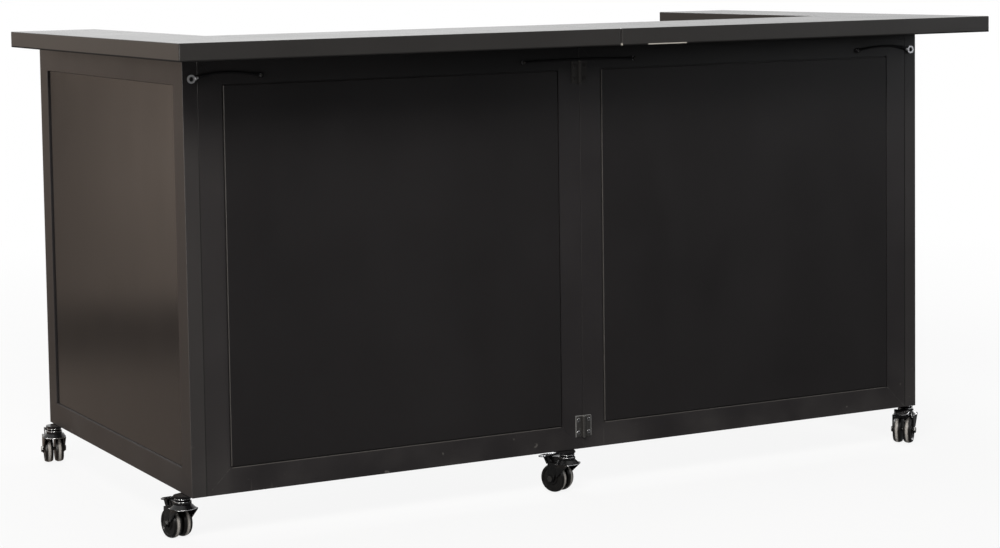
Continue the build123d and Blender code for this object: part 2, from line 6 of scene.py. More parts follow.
import bmesh
import bpy
from mathutils import Matrix, Vector
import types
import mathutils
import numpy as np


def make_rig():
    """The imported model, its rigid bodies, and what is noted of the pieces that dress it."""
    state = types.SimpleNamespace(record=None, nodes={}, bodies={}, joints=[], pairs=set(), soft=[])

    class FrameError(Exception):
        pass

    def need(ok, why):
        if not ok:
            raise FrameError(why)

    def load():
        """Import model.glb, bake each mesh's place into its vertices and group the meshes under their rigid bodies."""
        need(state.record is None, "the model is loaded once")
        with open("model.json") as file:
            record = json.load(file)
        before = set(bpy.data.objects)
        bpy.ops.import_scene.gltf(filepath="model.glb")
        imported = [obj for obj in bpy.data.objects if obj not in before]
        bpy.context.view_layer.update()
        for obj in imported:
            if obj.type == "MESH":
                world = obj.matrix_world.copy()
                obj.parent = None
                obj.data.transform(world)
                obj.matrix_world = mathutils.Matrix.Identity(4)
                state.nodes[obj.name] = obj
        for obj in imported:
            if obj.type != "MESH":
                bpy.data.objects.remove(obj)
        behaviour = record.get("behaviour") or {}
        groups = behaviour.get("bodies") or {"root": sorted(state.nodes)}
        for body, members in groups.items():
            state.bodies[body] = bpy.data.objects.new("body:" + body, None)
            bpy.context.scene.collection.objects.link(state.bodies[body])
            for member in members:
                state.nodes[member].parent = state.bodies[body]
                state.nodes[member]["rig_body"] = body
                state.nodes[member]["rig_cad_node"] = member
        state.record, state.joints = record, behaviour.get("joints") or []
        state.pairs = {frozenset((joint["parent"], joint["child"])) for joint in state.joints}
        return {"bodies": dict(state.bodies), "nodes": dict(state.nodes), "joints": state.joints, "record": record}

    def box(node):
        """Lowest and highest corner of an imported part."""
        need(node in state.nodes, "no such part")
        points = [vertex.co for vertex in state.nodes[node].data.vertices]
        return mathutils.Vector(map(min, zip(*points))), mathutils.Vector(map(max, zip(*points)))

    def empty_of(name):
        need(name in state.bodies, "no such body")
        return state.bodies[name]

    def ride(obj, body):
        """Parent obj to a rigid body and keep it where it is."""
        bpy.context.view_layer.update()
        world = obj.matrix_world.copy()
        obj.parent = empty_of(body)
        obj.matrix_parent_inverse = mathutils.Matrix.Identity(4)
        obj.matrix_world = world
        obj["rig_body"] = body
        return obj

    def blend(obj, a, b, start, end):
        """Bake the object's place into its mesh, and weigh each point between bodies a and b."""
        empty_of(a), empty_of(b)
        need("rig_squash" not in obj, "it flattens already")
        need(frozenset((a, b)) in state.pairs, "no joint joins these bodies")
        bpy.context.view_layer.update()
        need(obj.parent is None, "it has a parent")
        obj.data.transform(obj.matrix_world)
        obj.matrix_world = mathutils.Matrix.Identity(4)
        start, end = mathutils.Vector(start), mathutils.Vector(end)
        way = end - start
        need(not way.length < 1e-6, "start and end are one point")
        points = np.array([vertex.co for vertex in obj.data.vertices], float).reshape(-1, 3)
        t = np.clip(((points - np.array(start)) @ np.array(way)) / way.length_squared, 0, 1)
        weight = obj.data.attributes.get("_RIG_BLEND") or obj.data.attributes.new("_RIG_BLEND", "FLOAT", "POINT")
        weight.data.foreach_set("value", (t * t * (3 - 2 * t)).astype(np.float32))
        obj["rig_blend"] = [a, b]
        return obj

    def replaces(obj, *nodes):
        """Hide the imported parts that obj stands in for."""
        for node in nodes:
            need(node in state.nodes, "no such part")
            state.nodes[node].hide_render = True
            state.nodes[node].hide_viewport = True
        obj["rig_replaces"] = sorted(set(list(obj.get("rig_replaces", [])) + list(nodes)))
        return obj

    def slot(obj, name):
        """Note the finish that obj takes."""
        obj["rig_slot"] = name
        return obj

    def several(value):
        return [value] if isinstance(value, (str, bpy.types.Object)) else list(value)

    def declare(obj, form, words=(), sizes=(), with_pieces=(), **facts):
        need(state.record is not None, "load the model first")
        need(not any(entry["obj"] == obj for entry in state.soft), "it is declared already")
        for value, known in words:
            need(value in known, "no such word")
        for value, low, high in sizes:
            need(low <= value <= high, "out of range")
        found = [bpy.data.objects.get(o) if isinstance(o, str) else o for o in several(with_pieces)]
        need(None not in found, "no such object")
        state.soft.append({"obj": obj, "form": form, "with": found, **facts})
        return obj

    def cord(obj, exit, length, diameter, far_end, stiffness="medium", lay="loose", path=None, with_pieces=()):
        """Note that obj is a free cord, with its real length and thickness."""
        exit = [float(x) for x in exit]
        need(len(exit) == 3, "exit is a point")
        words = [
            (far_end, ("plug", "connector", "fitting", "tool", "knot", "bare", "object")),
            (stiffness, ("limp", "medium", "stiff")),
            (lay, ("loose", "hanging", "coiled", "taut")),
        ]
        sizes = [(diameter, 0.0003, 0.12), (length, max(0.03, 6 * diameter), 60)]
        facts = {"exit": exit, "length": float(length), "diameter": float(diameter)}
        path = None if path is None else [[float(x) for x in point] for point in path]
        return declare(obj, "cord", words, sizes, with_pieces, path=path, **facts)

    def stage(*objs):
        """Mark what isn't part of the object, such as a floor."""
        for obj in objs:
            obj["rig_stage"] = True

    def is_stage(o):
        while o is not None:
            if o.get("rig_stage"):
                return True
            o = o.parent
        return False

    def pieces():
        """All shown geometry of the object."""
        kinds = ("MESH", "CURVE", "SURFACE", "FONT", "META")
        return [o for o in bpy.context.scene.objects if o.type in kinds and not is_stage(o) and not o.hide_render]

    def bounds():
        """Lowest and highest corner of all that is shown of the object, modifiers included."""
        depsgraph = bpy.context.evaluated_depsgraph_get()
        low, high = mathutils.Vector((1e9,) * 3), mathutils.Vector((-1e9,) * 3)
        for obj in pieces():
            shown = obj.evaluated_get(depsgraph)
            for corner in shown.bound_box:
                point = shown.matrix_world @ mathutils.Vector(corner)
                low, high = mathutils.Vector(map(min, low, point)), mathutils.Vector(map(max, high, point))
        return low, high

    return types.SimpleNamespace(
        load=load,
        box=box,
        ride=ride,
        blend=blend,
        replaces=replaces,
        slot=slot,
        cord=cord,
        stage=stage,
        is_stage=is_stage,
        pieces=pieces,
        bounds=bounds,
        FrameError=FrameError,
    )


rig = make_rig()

bl_info = {
    "name": "Portable Bar Looks",
    "version": (1, 0, 0),
    "blender": (4, 5, 0),
    "location": "View3D > Sidebar > Portable Bar",
    "description": "Finishes, ties, screws, caster fittings and a plain studio for a folding portable bar",
    "category": "Object",
}

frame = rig.load()
CAD_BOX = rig.bounds()
JOINTS = {joint["name"]: joint for joint in frame["joints"]}
SLOT_OF = {piece["node"]: piece["material_slot"] for piece in frame["record"]["subparts"]}

# Places taken from the frame, in metres
END_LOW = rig.box("frame_left_end")[0]
FRONT_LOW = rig.box("frame_front_left")[0]
LEAF_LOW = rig.box("centre_hinge_leaves_left")[0]
SLAB_LOW, SLAB_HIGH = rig.box("top_right")
BOARD_LOW, BOARD_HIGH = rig.box("board_front_left")
FRONT_Y = FRONT_LOW.y
BASE_Z = END_LOW.z

# Distances from the middle of the bar to its ends, and to the joints between its front and its ends
END_REACH = -END_LOW.x
JOINT_REACH = -FRONT_LOW.x

# Sizes of the CAD pieces, in metres
BOARD_GAP = 0.003
RAIL_TOP = BOARD_LOW.z - BOARD_GAP
HINGE_HEIGHT = 0.050
PLATE_FOOT = 0.0028

SIDES = {"left": -1, "right": 1}
CASTERS = ("left_front", "left_rear", "right_front", "right_rear", "centre")
WHITE = (1.0, 1.0, 1.0, 1.0)

# Routes of the ties in metres: the distance along the front, and the height above the foot of the frames.
# A corner tie is measured from the end of the bar, and the centre tie from the joint of the front panels.
TIE_STANDOFF = 0.0045
CORNER_ROUTE = (
    (0.02855, 0.8959),
    (0.04603, 0.9020),
    (0.07624, 0.9066),
    (0.11758, 0.9064),
    (0.15097, 0.9026),
    (0.17270, 0.8988),
)
CENTRE_ROUTE = (
    (-0.14360, 0.9017),
    (-0.08760, 0.9038),
    (-0.03016, 0.9048),
    (0.03016, 0.9048),
    (0.08760, 0.9038),
    (0.14360, 0.9017),
)
CORNER_STUD = (0.178, 0.898)
CENTRE_STUD = (0.147, 0.9015)
CORNER_EYE_RADIUS = 0.0053
CENTRE_EYE_RADIUS = 0.0034
EYE_WIRE_RADIUS = 0.0014
EYE_STRETCH = 1.35


# Settings

def colour(name, description, default):
    """A colour that a user may change."""
    return bpy.props.FloatVectorProperty(
        name=name, description=description, subtype="COLOR", size=3, min=0, max=1, default=default
    )


def length(name, description, default):
    """A length in metres that a user may change."""
    return bpy.props.FloatProperty(
        name=name, description=description, unit="LENGTH", min=0, precision=5, default=default
    )


def power(name, description, default):
    """The power of a lamp in watts."""
    return bpy.props.FloatProperty(name=name, description=description, unit="POWER", min=0, default=default)


def factor(name, description, default):
    """A share from 0 to 1."""
    return bpy.props.FloatProperty(
        name=name, description=description, subtype="FACTOR", min=0, max=1, default=default
    )


class BarColours(bpy.types.PropertyGroup):
    """Colours of the bar's finishes."""

    paint: colour("Frame paint", "Satin black paint of the tube frames", (0.0118, 0.0105, 0.0110))
    # The dust colour also tints the painted light on the frames: the paler edges and corner and the rail highlight
    dust: colour("Dust", "Pale dust and scuffs on the low parts", (0.20, 0.19, 0.175))
    board: colour("Boards", "Black laminate of the panel boards", (0.0092, 0.0085, 0.0088))
    slab: colour("Counter", "Black laminate of the counter tops", (0.0190, 0.0182, 0.0176))
    core: colour("Worn edge", "Bared board where the edge of a top is worn", (0.36, 0.34, 0.31))
    rubber: colour("Pads", "Rubber of the pads under the tops", (0.018, 0.018, 0.017))
    # Pale enough to serve also as a painted highlight on the front boards' edges that face the light
    edge: colour("Board edges", "Bare edges of the front boards", (0.060, 0.057, 0.054))
    hinge: colour("Hinges", "Black finish of the hinge leaves", (0.020, 0.019, 0.018))
    pin: colour("Hinge pins", "Blackened steel of the hinge pins and screws", (0.22, 0.22, 0.215))
    sheath: colour("Ties", "Vinyl sheath of the tie cables", (0.0040, 0.0040, 0.0044))
    bright: colour("Plated fittings", "Bright plating of the rings and studs", (0.52, 0.52, 0.53))
    caster: colour("Casters", "Gloss black enamel of the casters", (0.0035, 0.0035, 0.0037))
    wheel: colour("Wheels", "Dark moulded cores of the wheels", (0.0045, 0.0043, 0.0042))
    tread: colour("Treads", "Rubbed treads of the wheels", (0.30, 0.285, 0.265))
    zinc: colour("Zinc", "Dull zinc plate of the axles and screws", (0.10, 0.10, 0.098))


class BarFittings(bpy.types.PropertyGroup):
    """Sizes of the fittings that are added to the CAD pieces."""

    tie_radius: length("Tie radius", "Half the thickness of a tie cable", 0.00275)
    sleeve_radius: length("Sleeve radius", "Half the thickness of the shrunk sleeve on a tie", 0.0036)
    sleeve_length: length("Sleeve length", "Length of the shrunk sleeve by the ring of a tie", 0.016)
    cap_radius: length("Cap radius", "Radius of the cap on a tie's stud", 0.0027)
    hinge_screw_radius: length("Hinge screw radius", "Radius of a hinge screw's head", 0.0047)
    hinge_screw_height: length("Hinge screw height", "How far a hinge screw stands out of its leaf", 0.0014)
    board_screw_radius: length("Board screw radius", "Radius of the heads behind the boards", 0.0038)
    board_screw_height: length("Board screw height", "Height of the heads behind the boards", 0.0022)
    plate_screw_radius: length("Plate screw radius", "Radius of the screws in the caster plates", 0.0045)
    plate_screw_height: length("Plate screw height", "How far the plates' screws stand out", 0.0008)
    bead_radius: length("Bead radius", "Half the thickness of the rolled rim of a brake pedal", 0.0018)
    rim_radius: length("Rim radius", "Half the thickness of the snap rings of a caster's swivel", 0.0006)
    rib_width: length("Rib width", "Width of a grip rib on a brake pedal", 0.0022)
    rib_height: length("Rib height", "Height of a grip rib on a brake pedal", 0.0009)


class BarStudio(bpy.types.PropertyGroup):
    """The camera, lamps and surroundings."""

    lens: bpy.props.FloatProperty(name="Lens", description="Focal length", unit="CAMERA", default=83.626)
    side: power("Side lamp", "Tall soft lamp at the left", 120.0)
    key: power("Key lamp", "Soft lamp high above the left of the front", 400.0)
    fill: power("Fill lamp", "Soft lamp close by the right of the front", 26.0)
    overhead: power("Top lamp", "Soft lamp above the bar", 70.0)
    end: power("End lamp", "Soft lamp that faces the right end", 90.0)
    rear: power("Rear lamp", "Soft lamp behind the bar", 170.0)
    ambient: factor("Ambient", "Level of the light from all round", 0.22)
    bounce: factor("Bounce", "How bright the floor by the bar is, in reflections", 0.16)
    room: factor("Room", "How bright the room in front of the bar is, in reflections", 0.10)
    right: factor("Right", "How bright the room at the right of the bar is, in reflections", 0.82)
    wall: colour("Wall", "The room at the left rear, in reflections", (0.83, 0.665, 0.545))


class BarSettings(bpy.types.PropertyGroup):
    """Everything that can be set on the bar."""

    colours: bpy.props.PointerProperty(name="Colours", description="Colours of finishes", type=BarColours)
    fittings: bpy.props.PointerProperty(name="Fittings", description="Sizes of fittings", type=BarFittings)
    studio: bpy.props.PointerProperty(name="Studio", description="Camera and lamps", type=BarStudio)


# Shader nodes

class Signal:
    """An output socket, so that shader maths is written as plain expressions."""

    def __init__(self, nodes, socket):
        self.nodes = nodes
        self.socket = socket

    def math(self, operation, first, second):
        """Join two values by a Math node."""
        return self.nodes.add("ShaderNodeMath", {"operation": operation}, {0: first, 1: second})

    def __add__(self, other):
        return self.math("ADD", self, other)

    def __sub__(self, other):
        return self.math("SUBTRACT", self, other)

    def __rsub__(self, other):
        return self.math("SUBTRACT", other, self)

    def __mul__(self, other):
        return self.math("MULTIPLY", self, other)

    __radd__ = __add__
    __rmul__ = __mul__

    def size(self):
        """The value without its sign."""
        return self.math("ABSOLUTE", self, 0.0)

    def or_more(self, other):
        """The larger of two values."""
        return self.math("MAXIMUM", self, other)


class NodeSet:
    """A node tree under construction."""

    def __init__(self, tree):
        self.tree = tree

    def add(self, kind, settings=None, inputs=None, output=0):
        """Add a node: its settings first, then the values or links of its sockets."""
        node = self.tree.nodes.new(kind)
        for name, value in (settings or {}).items():
            setattr(node, name, value)
        for name, value in (inputs or {}).items():
            self.feed(node.inputs[name], value)
        return Signal(self, node.outputs[output])

    def feed(self, socket, value):
        """Link a signal to a socket, or set a plain value on it."""
        if isinstance(value, Signal):
            self.tree.links.new(value.socket, socket)
        else:
            socket.default_value = value

    def soft_step(self, value, low, high):
        """A smooth step of a value, from 0 at low to 1 at high."""
        settings = {"interpolation_type": "SMOOTHSTEP"}
        return self.add("ShaderNodeMapRange", settings, {"Value": value, "From Min": low, "From Max": high})

    def line(self, value, place, outer, inner):
        """A soft line where a value meets a place: 0 further off than outer, and 1 nearer than inner."""
        return self.soft_step((value - place).size(), outer, inner)

    def tint(self, amount, first, second):
        """A colour between two colours."""
        return self.add("ShaderNodeMix", {"data_type": "RGBA"}, {0: amount, 6: first, 7: second}, output=2)

    def mottled(self, amount, shade, low, high):
        """A colour that varies between two gains."""
        return self.tint(amount, lighter(shade, low), lighter(shade, high))

    def vector_math(self, operation, *vectors, output=0):
        """Join vectors by a Vector Math node."""
        return self.add("ShaderNodeVectorMath", {"operation": operation}, dict(enumerate(vectors)), output)

    def axes(self, vector):
        """The three parts of a vector."""
        parts = self.add("ShaderNodeSeparateXYZ", inputs={"Vector": vector})
        return [Signal(self, socket) for socket in parts.socket.node.outputs]


class Finish(NodeSet):
    """A material under construction, with its main shader and the place on the piece that patterns read."""

    def __init__(self, name):
        self.material = bpy.data.materials.new(name)
        self.material.use_nodes = True
        super().__init__(self.material.node_tree)
        self.shader = self.tree.nodes["Principled BSDF"]
        self.place = self.add("ShaderNodeTexCoord", output="Object")
        self.x, self.y, self.z = self.axes(self.place)

    def noise(self, scale, detail=2.0, stretch=(1, 1, 1)):
        """Cloudy noise about 0.5, whose features are drawn out along the axes with a small stretch."""
        spot = self.add("ShaderNodeMapping", inputs={"Vector": self.place, "Scale": stretch})
        return self.add("ShaderNodeTexNoise", inputs={"Vector": spot, "Scale": scale, "Detail": detail})

    def flecks(self, low, high, scale, detail=2.0, stretch=(1, 1, 1)):
        """Spots where noise rises past a level: 0 up to low, and 1 from high."""
        return self.soft_step(self.noise(scale, detail, stretch), low, high)

    def relief(self, height, depth):
        """The normal of a surface that is raised by a height from 0 to 1, times a depth in metres."""
        return self.add("ShaderNodeBump", inputs={"Height": height, "Distance": depth}, output="Normal")

    def set(self, **values):
        """Set sockets of the main shader, named with underscores for spaces."""
        for name, value in values.items():
            self.feed(self.shader.inputs[name.replace("_", " ")], value)
        return self.material


def solid(shade):
    """A property's colour as four numbers."""
    return (*shade, 1.0)


def lighter(shade, gain):
    """A colour times a gain."""
    return (*(gain * part for part in shade), 1.0)


# Where a look sets in on the bar and where it is full, in metres
FRONT_SKIN = (FRONT_Y + 0.004, FRONT_Y + 0.002)
LEFT_CORNER = (FRONT_LOW.x + 0.060, FRONT_LOW.x + 0.045)
JOINT_SHOWS = (BASE_Z + 0.85, BASE_Z + 0.65)
# Painted light on the front edges of the ends and the left corner: gone above the first height, full below the second
CORNER_LIGHT_FADES = (BASE_Z + 0.86, BASE_Z + 0.72)
DUSTY = (BASE_Z + 0.16, BASE_Z)
# Painted shadow under the overhang of the top: the heights where it sets in and is full, and where along the bar it
# deepens
OVERHANG_SHADOW_SPAN = (BOARD_HIGH.z - 0.03, BOARD_HIGH.z + 0.02)
OVERHANG_SHADOW_DEEPENS = (-0.75, -0.10)
# Hinges above these heights are kept plain black as painted shade
UPPER_HINGE = (BASE_Z + 0.4, BASE_Z + 0.6)
# Plated parts above these heights take the painted light of their finish
ALOFT = (BASE_Z + 0.6, BASE_Z + 0.8)
EDGE_RUBBED_FROM = (0.0700, 0.0730)
EDGE_RUBBED_TO = (0.1750, 0.1720)
CASTER_DUSTY = (0.075, 0.0)
TREAD_CROWN = (0.0060, 0.0018)
TREAD_REACH = (0.0285, 0.0300)


# Finishes, one for each material slot of the record

def front_face(finish):
    """1 on the front faces of the frames, and 0 further back."""
    return finish.soft_step(finish.y, *FRONT_SKIN)


def rail_line(finish):
    """A painted highlight: a thin pale line along the upper edge of the bottom rails, under the boards, where light
    from above catches the edge.
    """
    line = finish.line(finish.z, RAIL_TOP - 0.0008, 0.0012, 0.0005)
    along = finish.x.size()
    between = finish.soft_step(along, -BOARD_HIGH.x, -BOARD_HIGH.x + 0.002)
    between = between * finish.soft_step(along, -BOARD_LOW.x, -BOARD_LOW.x - 0.002)
    return 0.22 * line * between * front_face(finish)


def mitre_seam(finish):
    """The ground weld of the mitres at the lower outer corners of the front."""
    inward = JOINT_REACH - finish.x.size()
    up = finish.z - BASE_Z
    seam = finish.line(inward, up, 0.0022, 0.0008) * finish.soft_step(inward, 0.0, 0.001)
    seam = seam * finish.soft_step(up, RAIL_TOP - BASE_Z, RAIL_TOP - BASE_Z - 0.001)
    beads = finish.flecks(0.40, 0.62, 260.0)
    return 0.14 * seam * beads * front_face(finish)


def joint_line(finish):
    """The dark line of the joints between the front and the ends, which fades towards the top."""
    line = finish.line(finish.x.size(), JOINT_REACH, 0.0020, 0.0010) * front_face(finish)
    return line * finish.soft_step(finish.z, *JOINT_SHOWS)


def handled_corner(finish):
    """Painted light: the front edges of the end panels and the left corner stile are tinted paler, as where more light
    falls, fading out towards the top.
    """
    edge = finish.soft_step(finish.x.size(), JOINT_REACH, JOINT_REACH + 0.001)
    corner = finish.soft_step(finish.x, *LEFT_CORNER)
    return (0.028 * edge + 0.022 * corner) * front_face(finish) * finish.soft_step(finish.z, *CORNER_LIGHT_FADES)


def under_overhang(finish):
    """Painted shadow of the overhanging top on the front faces near the top, deeper towards the right."""
    deep = 0.45 + 0.55 * finish.soft_step(finish.x, *OVERHANG_SHADOW_DEEPENS)
    return finish.soft_step(finish.z, *OVERHANG_SHADOW_SPAN) * front_face(finish) * deep


def frame_paint(colours):
    """Satin black paint on steel tube: orange peel, dust on the low rails and scuffs, with painted light: paler front
    edges of the ends and left corner, a highlight along the bottom rails, and the overhang's shadow near the top.
    """
    finish = Finish("frame_paint")
    cloud = finish.noise(7.0, 4.0)
    low = finish.soft_step(finish.z, *DUSTY)
    film = low * finish.soft_step(cloud, 0.35, 0.75)
    streaks = finish.flecks(0.66, 0.72, 95.0, 3.0, (1.0, 1.0, 0.09))
    patches = finish.flecks(0.52, 0.66, 9.0)
    nicks = finish.flecks(0.70, 0.74, 55.0, 4.0) * low
    # Dust, streaks and nicks, with painted light added: the paler edges and corner and the rail highlight, all tinted
    # towards the dust colour
    dust_and_painted_light = 0.05 * film + 0.12 * streaks * patches * low + 0.22 * nicks + handled_corner(finish)
    dust_and_painted_light = dust_and_painted_light.or_more(rail_line(finish)).or_more(mitre_seam(finish))
    tone = finish.mottled(cloud, colours.paint, 0.8, 1.25)
    # Painted shadow: the front darkens near the top, under the overhang
    tone = finish.tint(under_overhang(finish), tone, lighter(colours.paint, 0.25))
    grime = joint_line(finish)
    tone = finish.tint(grime, tone, lighter(colours.paint, 0.1))
    peel = finish.noise(520.0, 2.0)
    return finish.set(
        Base_Color=finish.tint(dust_and_painted_light, tone, solid(colours.dust)),
        Roughness=0.36 + 0.12 * cloud + 0.25 * dust_and_painted_light + 0.5 * grime,
        Specular_IOR_Level=0.30,
        Normal=finish.relief(peel, 0.00006),
    )


def board_laminate(colours):
    """Black laminate board: a pebbled skin with wiping marks, pale bare edges that also serve as a painted highlight
    where the edges face the light, and more gloss at the ends.
    """
    finish = Finish("board_laminate")
    cloud = finish.noise(3.5, 4.0)
    wiped = finish.noise(11.0, 5.0, (1.0, 1.0, 0.35))
    pebble = finish.noise(1500.0, 1.0)
    end = finish.soft_step(finish.x.size(), JOINT_REACH, JOINT_REACH + 0.01)
    behind = finish.soft_step(finish.y, BOARD_LOW.y + 0.0002, BOARD_LOW.y + 0.0006)
    # The edge faces of the boards: bare pale core, which also stands in for a highlight on the lit left edges
    edge = behind * finish.soft_step(finish.y, BOARD_HIGH.y - 0.0005, BOARD_HIGH.y - 0.0010)
    skin = finish.mottled(cloud, colours.board, 0.75, 1.35)
    grain = finish.noise(300.0, 3.0, (0.15, 1.0, 0.15))
    core = finish.mottled(grain, colours.edge, 0.7, 1.3)
    return finish.set(
        Base_Color=finish.tint(edge, skin, core),
        Roughness=0.30 + 0.16 * wiped + 0.3 * edge - 0.24 * end,
        Specular_IOR_Level=0.20,
        Normal=finish.relief(pebble, 0.000005),
    )


def top_laminate(colours):
    """Black laminate counter with a banded edge: hairline wear on the face and bared core at worn edges, a painted
    pale spot of light at the foot of the front seam, and a painted dark band of shade along the foot of the edges.
    """
    finish = Finish("top_laminate")
    cloud = finish.noise(4.0, 4.0)
    hairs = finish.flecks(0.64, 0.70, 130.0, 3.0, (1.0, 0.05, 1.0))
    hairs = hairs.or_more(finish.flecks(0.65, 0.70, 120.0, 3.0, (0.06, 1.0, 1.0)))
    drop = SLAB_HIGH.z - finish.z
    rise = finish.z - SLAB_LOW.z
    face = finish.soft_step(drop, 0.0008, 0.0002)
    band = finish.soft_step(drop, 0.0022, 0.0016) * (1 - face)
    front = finish.soft_step(finish.y - SLAB_LOW.y, 0.008, 0.003)
    ragged = 0.003 * finish.noise(160.0, 3.0)
    rubbed = finish.soft_step(rise, 0.0034, 0.0016) * front
    for ends in (EDGE_RUBBED_FROM, EDGE_RUBBED_TO):
        rubbed = rubbed * finish.soft_step(finish.x + ragged, *ends)
    # Painted light: a pale spot at the foot of the seam between the two tops, on the front edge, where light shows
    # through the joint
    painted_seam_light = finish.soft_step(finish.x.size() + ragged, 0.0045, 0.0030)
    painted_seam_light = painted_seam_light * finish.soft_step(rise + ragged, 0.0085, 0.0060)
    # Painted shade: the lowest few millimetres of the edges are darkened and dulled to stand in for the shadow line
    # beneath the top
    lip = finish.soft_step(rise, 0.0036, 0.0030)
    specks = finish.flecks(0.70, 0.74, 240.0) * band
    # Worn core, with the painted light at the seam mixed in
    bared = rubbed.or_more(painted_seam_light * front * 0.8).or_more(specks * 0.45)
    tone = finish.mottled(cloud, colours.slab, 0.85, 1.15)
    tone = finish.tint(band * 0.5, tone, lighter(colours.slab, 0.4))
    # Painted shade along the foot of the edges
    tone = finish.tint(lip, tone, lighter(colours.slab, 0.2))
    grain = finish.noise(1300.0, 1.0)
    return finish.set(
        Base_Color=finish.tint(bared, tone, solid(colours.core)),
        Roughness=0.30 - 0.17 * face + 0.08 * cloud + 0.10 * hairs * face + 0.35 * bared + 0.6 * lip,
        Specular_IOR_Level=0.20,
        Normal=finish.relief(grain - 0.6 * band, 0.00003),
    )


def pad_rubber(colours):
    """Matt rubber, a little dusty."""
    finish = Finish("pad_rubber")
    cloud = finish.noise(90.0, 4.0)
    return finish.set(
        Base_Color=finish.mottled(cloud, colours.rubber, 0.8, 1.5),
        Roughness=0.75 + 0.2 * cloud,
        Specular_IOR_Level=0.3,
        Normal=finish.relief(finish.noise(1200.0, 3.0), 0.00008),
    )


def leaf_outline(finish):
    """A painted highlight along the upper and outer edges of the lower centre hinge, where light falls on them."""
    along = finish.x.size()
    reach = -LEAF_LOW.x
    top = LEAF_LOW.z + HINGE_HEIGHT
    edge = finish.soft_step(along, reach - 0.0022, reach - 0.0012)
    edge = edge.or_more(finish.soft_step(finish.z, top - 0.0022, top - 0.0012))
    edge = edge * finish.soft_step(along, reach + 0.002, reach + 0.001)
    return edge * finish.soft_step(finish.z, top + 0.002, top)


def hinge_black(colours):
    """Black finish on pressed steel, with bare metal showing through where it has rubbed and a painted highlight on
    the edges of the lower centre hinge. The hinges up high get neither, as painted shade.
    """
    finish = Finish("hinge_black")
    # Rubbed flecks of bare metal, joined by the painted highlight on the lower centre hinge's edges
    worn = 0.5 * finish.flecks(0.60, 0.74, 260.0, 4.0)
    worn = worn.or_more(0.8 * leaf_outline(finish))
    cloud = finish.noise(60.0, 3.0)
    # Painted shade: the hinges up high, under the top, lose the pale flecks and the highlight
    upper = finish.soft_step(finish.z, *UPPER_HINGE)
    worn = worn * (1 - upper)
    return finish.set(
        Base_Color=finish.tint(worn, solid(colours.hinge), solid(colours.pin)),
        Metallic=worn * 0.6,
        Roughness=0.48 + 0.14 * cloud + 0.25 * upper,
        Specular_IOR_Level=0.28,
        Normal=finish.relief(finish.noise(800.0, 2.0), 0.00004),
    )


def plated(name, shade, dull, scratch, gain_aloft):
    """Plated steel with fine scratches and a dull bloom, rougher near the top, where its colour takes a gain as
    painted light: below one for painted shade, above one for a painted highlight.
    """
    finish = Finish(name)
    bloom = finish.noise(150.0, 3.0)
    lines = finish.flecks(0.58, 0.70, 900.0, stretch=(1.0, 1.0, 0.06))
    aloft = finish.soft_step(finish.z, *ALOFT)
    tone = finish.mottled(bloom, shade, 0.82, 1.0)
    return finish.set(
        # Painted light: near the top the plating's colour is multiplied by the gain
        Base_Color=finish.tint(aloft, tone, lighter(shade, gain_aloft)),
        Metallic=1.0,
        Roughness=dull + 0.10 * bloom + scratch * lines + 0.25 * aloft,
        Normal=finish.relief(lines, 0.00001),
    )


def hinge_pin(colours):
    """Blackened steel pins, darkened near the top as painted shade."""
    return plated("hinge_pin", colours.pin, 0.28, 0.15, 0.3)


def bright_steel(colours):
    """Bright plated rings, screws and rolled rims, brightened near the top as a painted highlight."""
    return plated("bright_steel", colours.bright, 0.16, 0.10, 1.45)


def axle_steel(colours):
    """Zinc-plated axles, bolts and screws."""
    return plated("axle_steel", colours.zinc, 0.26, 0.14, 1.0)


def tie_sheath(colours):
    """Smooth vinyl sheath, with a slight ripple from the cable inside."""
    finish = Finish("tie_sheath")
    cloud = finish.noise(45.0, 3.0)
    ripple = finish.noise(420.0, 1.0, (0.5, 1.0, 1.0))
    return finish.set(
        Base_Color=finish.mottled(cloud, colours.sheath, 0.8, 1.4),
        Roughness=0.42 + 0.15 * cloud,
        Specular_IOR_Level=0.10,
        Normal=finish.relief(ripple, 0.00012),
    )


def caster_black(colours):
    """Gloss black enamel over pressed steel, with road dust that thickens towards the floor."""
    finish = Finish("caster_black")
    cloud = finish.noise(55.0, 4.0)
    low = finish.soft_step(finish.z, *CASTER_DUSTY)
    film = (0.25 + 0.75 * low) * finish.soft_step(cloud, 0.42, 0.80)
    return finish.set(
        Base_Color=finish.tint(film * 0.02, solid(colours.caster), solid(colours.dust)),
        Roughness=0.16 + 0.08 * cloud + 0.15 * film,
        Specular_IOR_Level=0.36,
        Normal=finish.relief(finish.noise(420.0, 2.0), 0.00004),
    )


def wheel_black(colours, centre, axle):
    """A dark moulded wheel about its own axle, with a tread that rolling has rubbed pale."""
    finish = Finish("wheel_black")
    offset = finish.vector_math("SUBTRACT", finish.place, centre)
    across = finish.vector_math("DOT_PRODUCT", offset, axle, output="Value")
    reach = finish.vector_math("LENGTH", offset, output="Value")
    cloud = finish.noise(70.0, 4.0)
    grit = finish.flecks(0.60, 0.72, 420.0, 3.0)
    film = finish.soft_step(cloud, 0.45, 0.80)
    crown = finish.soft_step(across.size() + 0.002 * cloud, *TREAD_CROWN)
    tread = crown * finish.soft_step(reach, *TREAD_REACH) * (0.75 + 0.25 * cloud)
    core = finish.tint(film * 0.02 + grit * 0.015, solid(colours.wheel), solid(colours.dust))
    return finish.set(
        Base_Color=finish.tint(tread, core, solid(colours.tread)),
        Roughness=0.26 + 0.10 * cloud + 0.08 * grit + 0.10 * tread,
        Specular_IOR_Level=0.24,
        Normal=finish.relief(cloud + 0.3 * grit, 0.00008),
    )


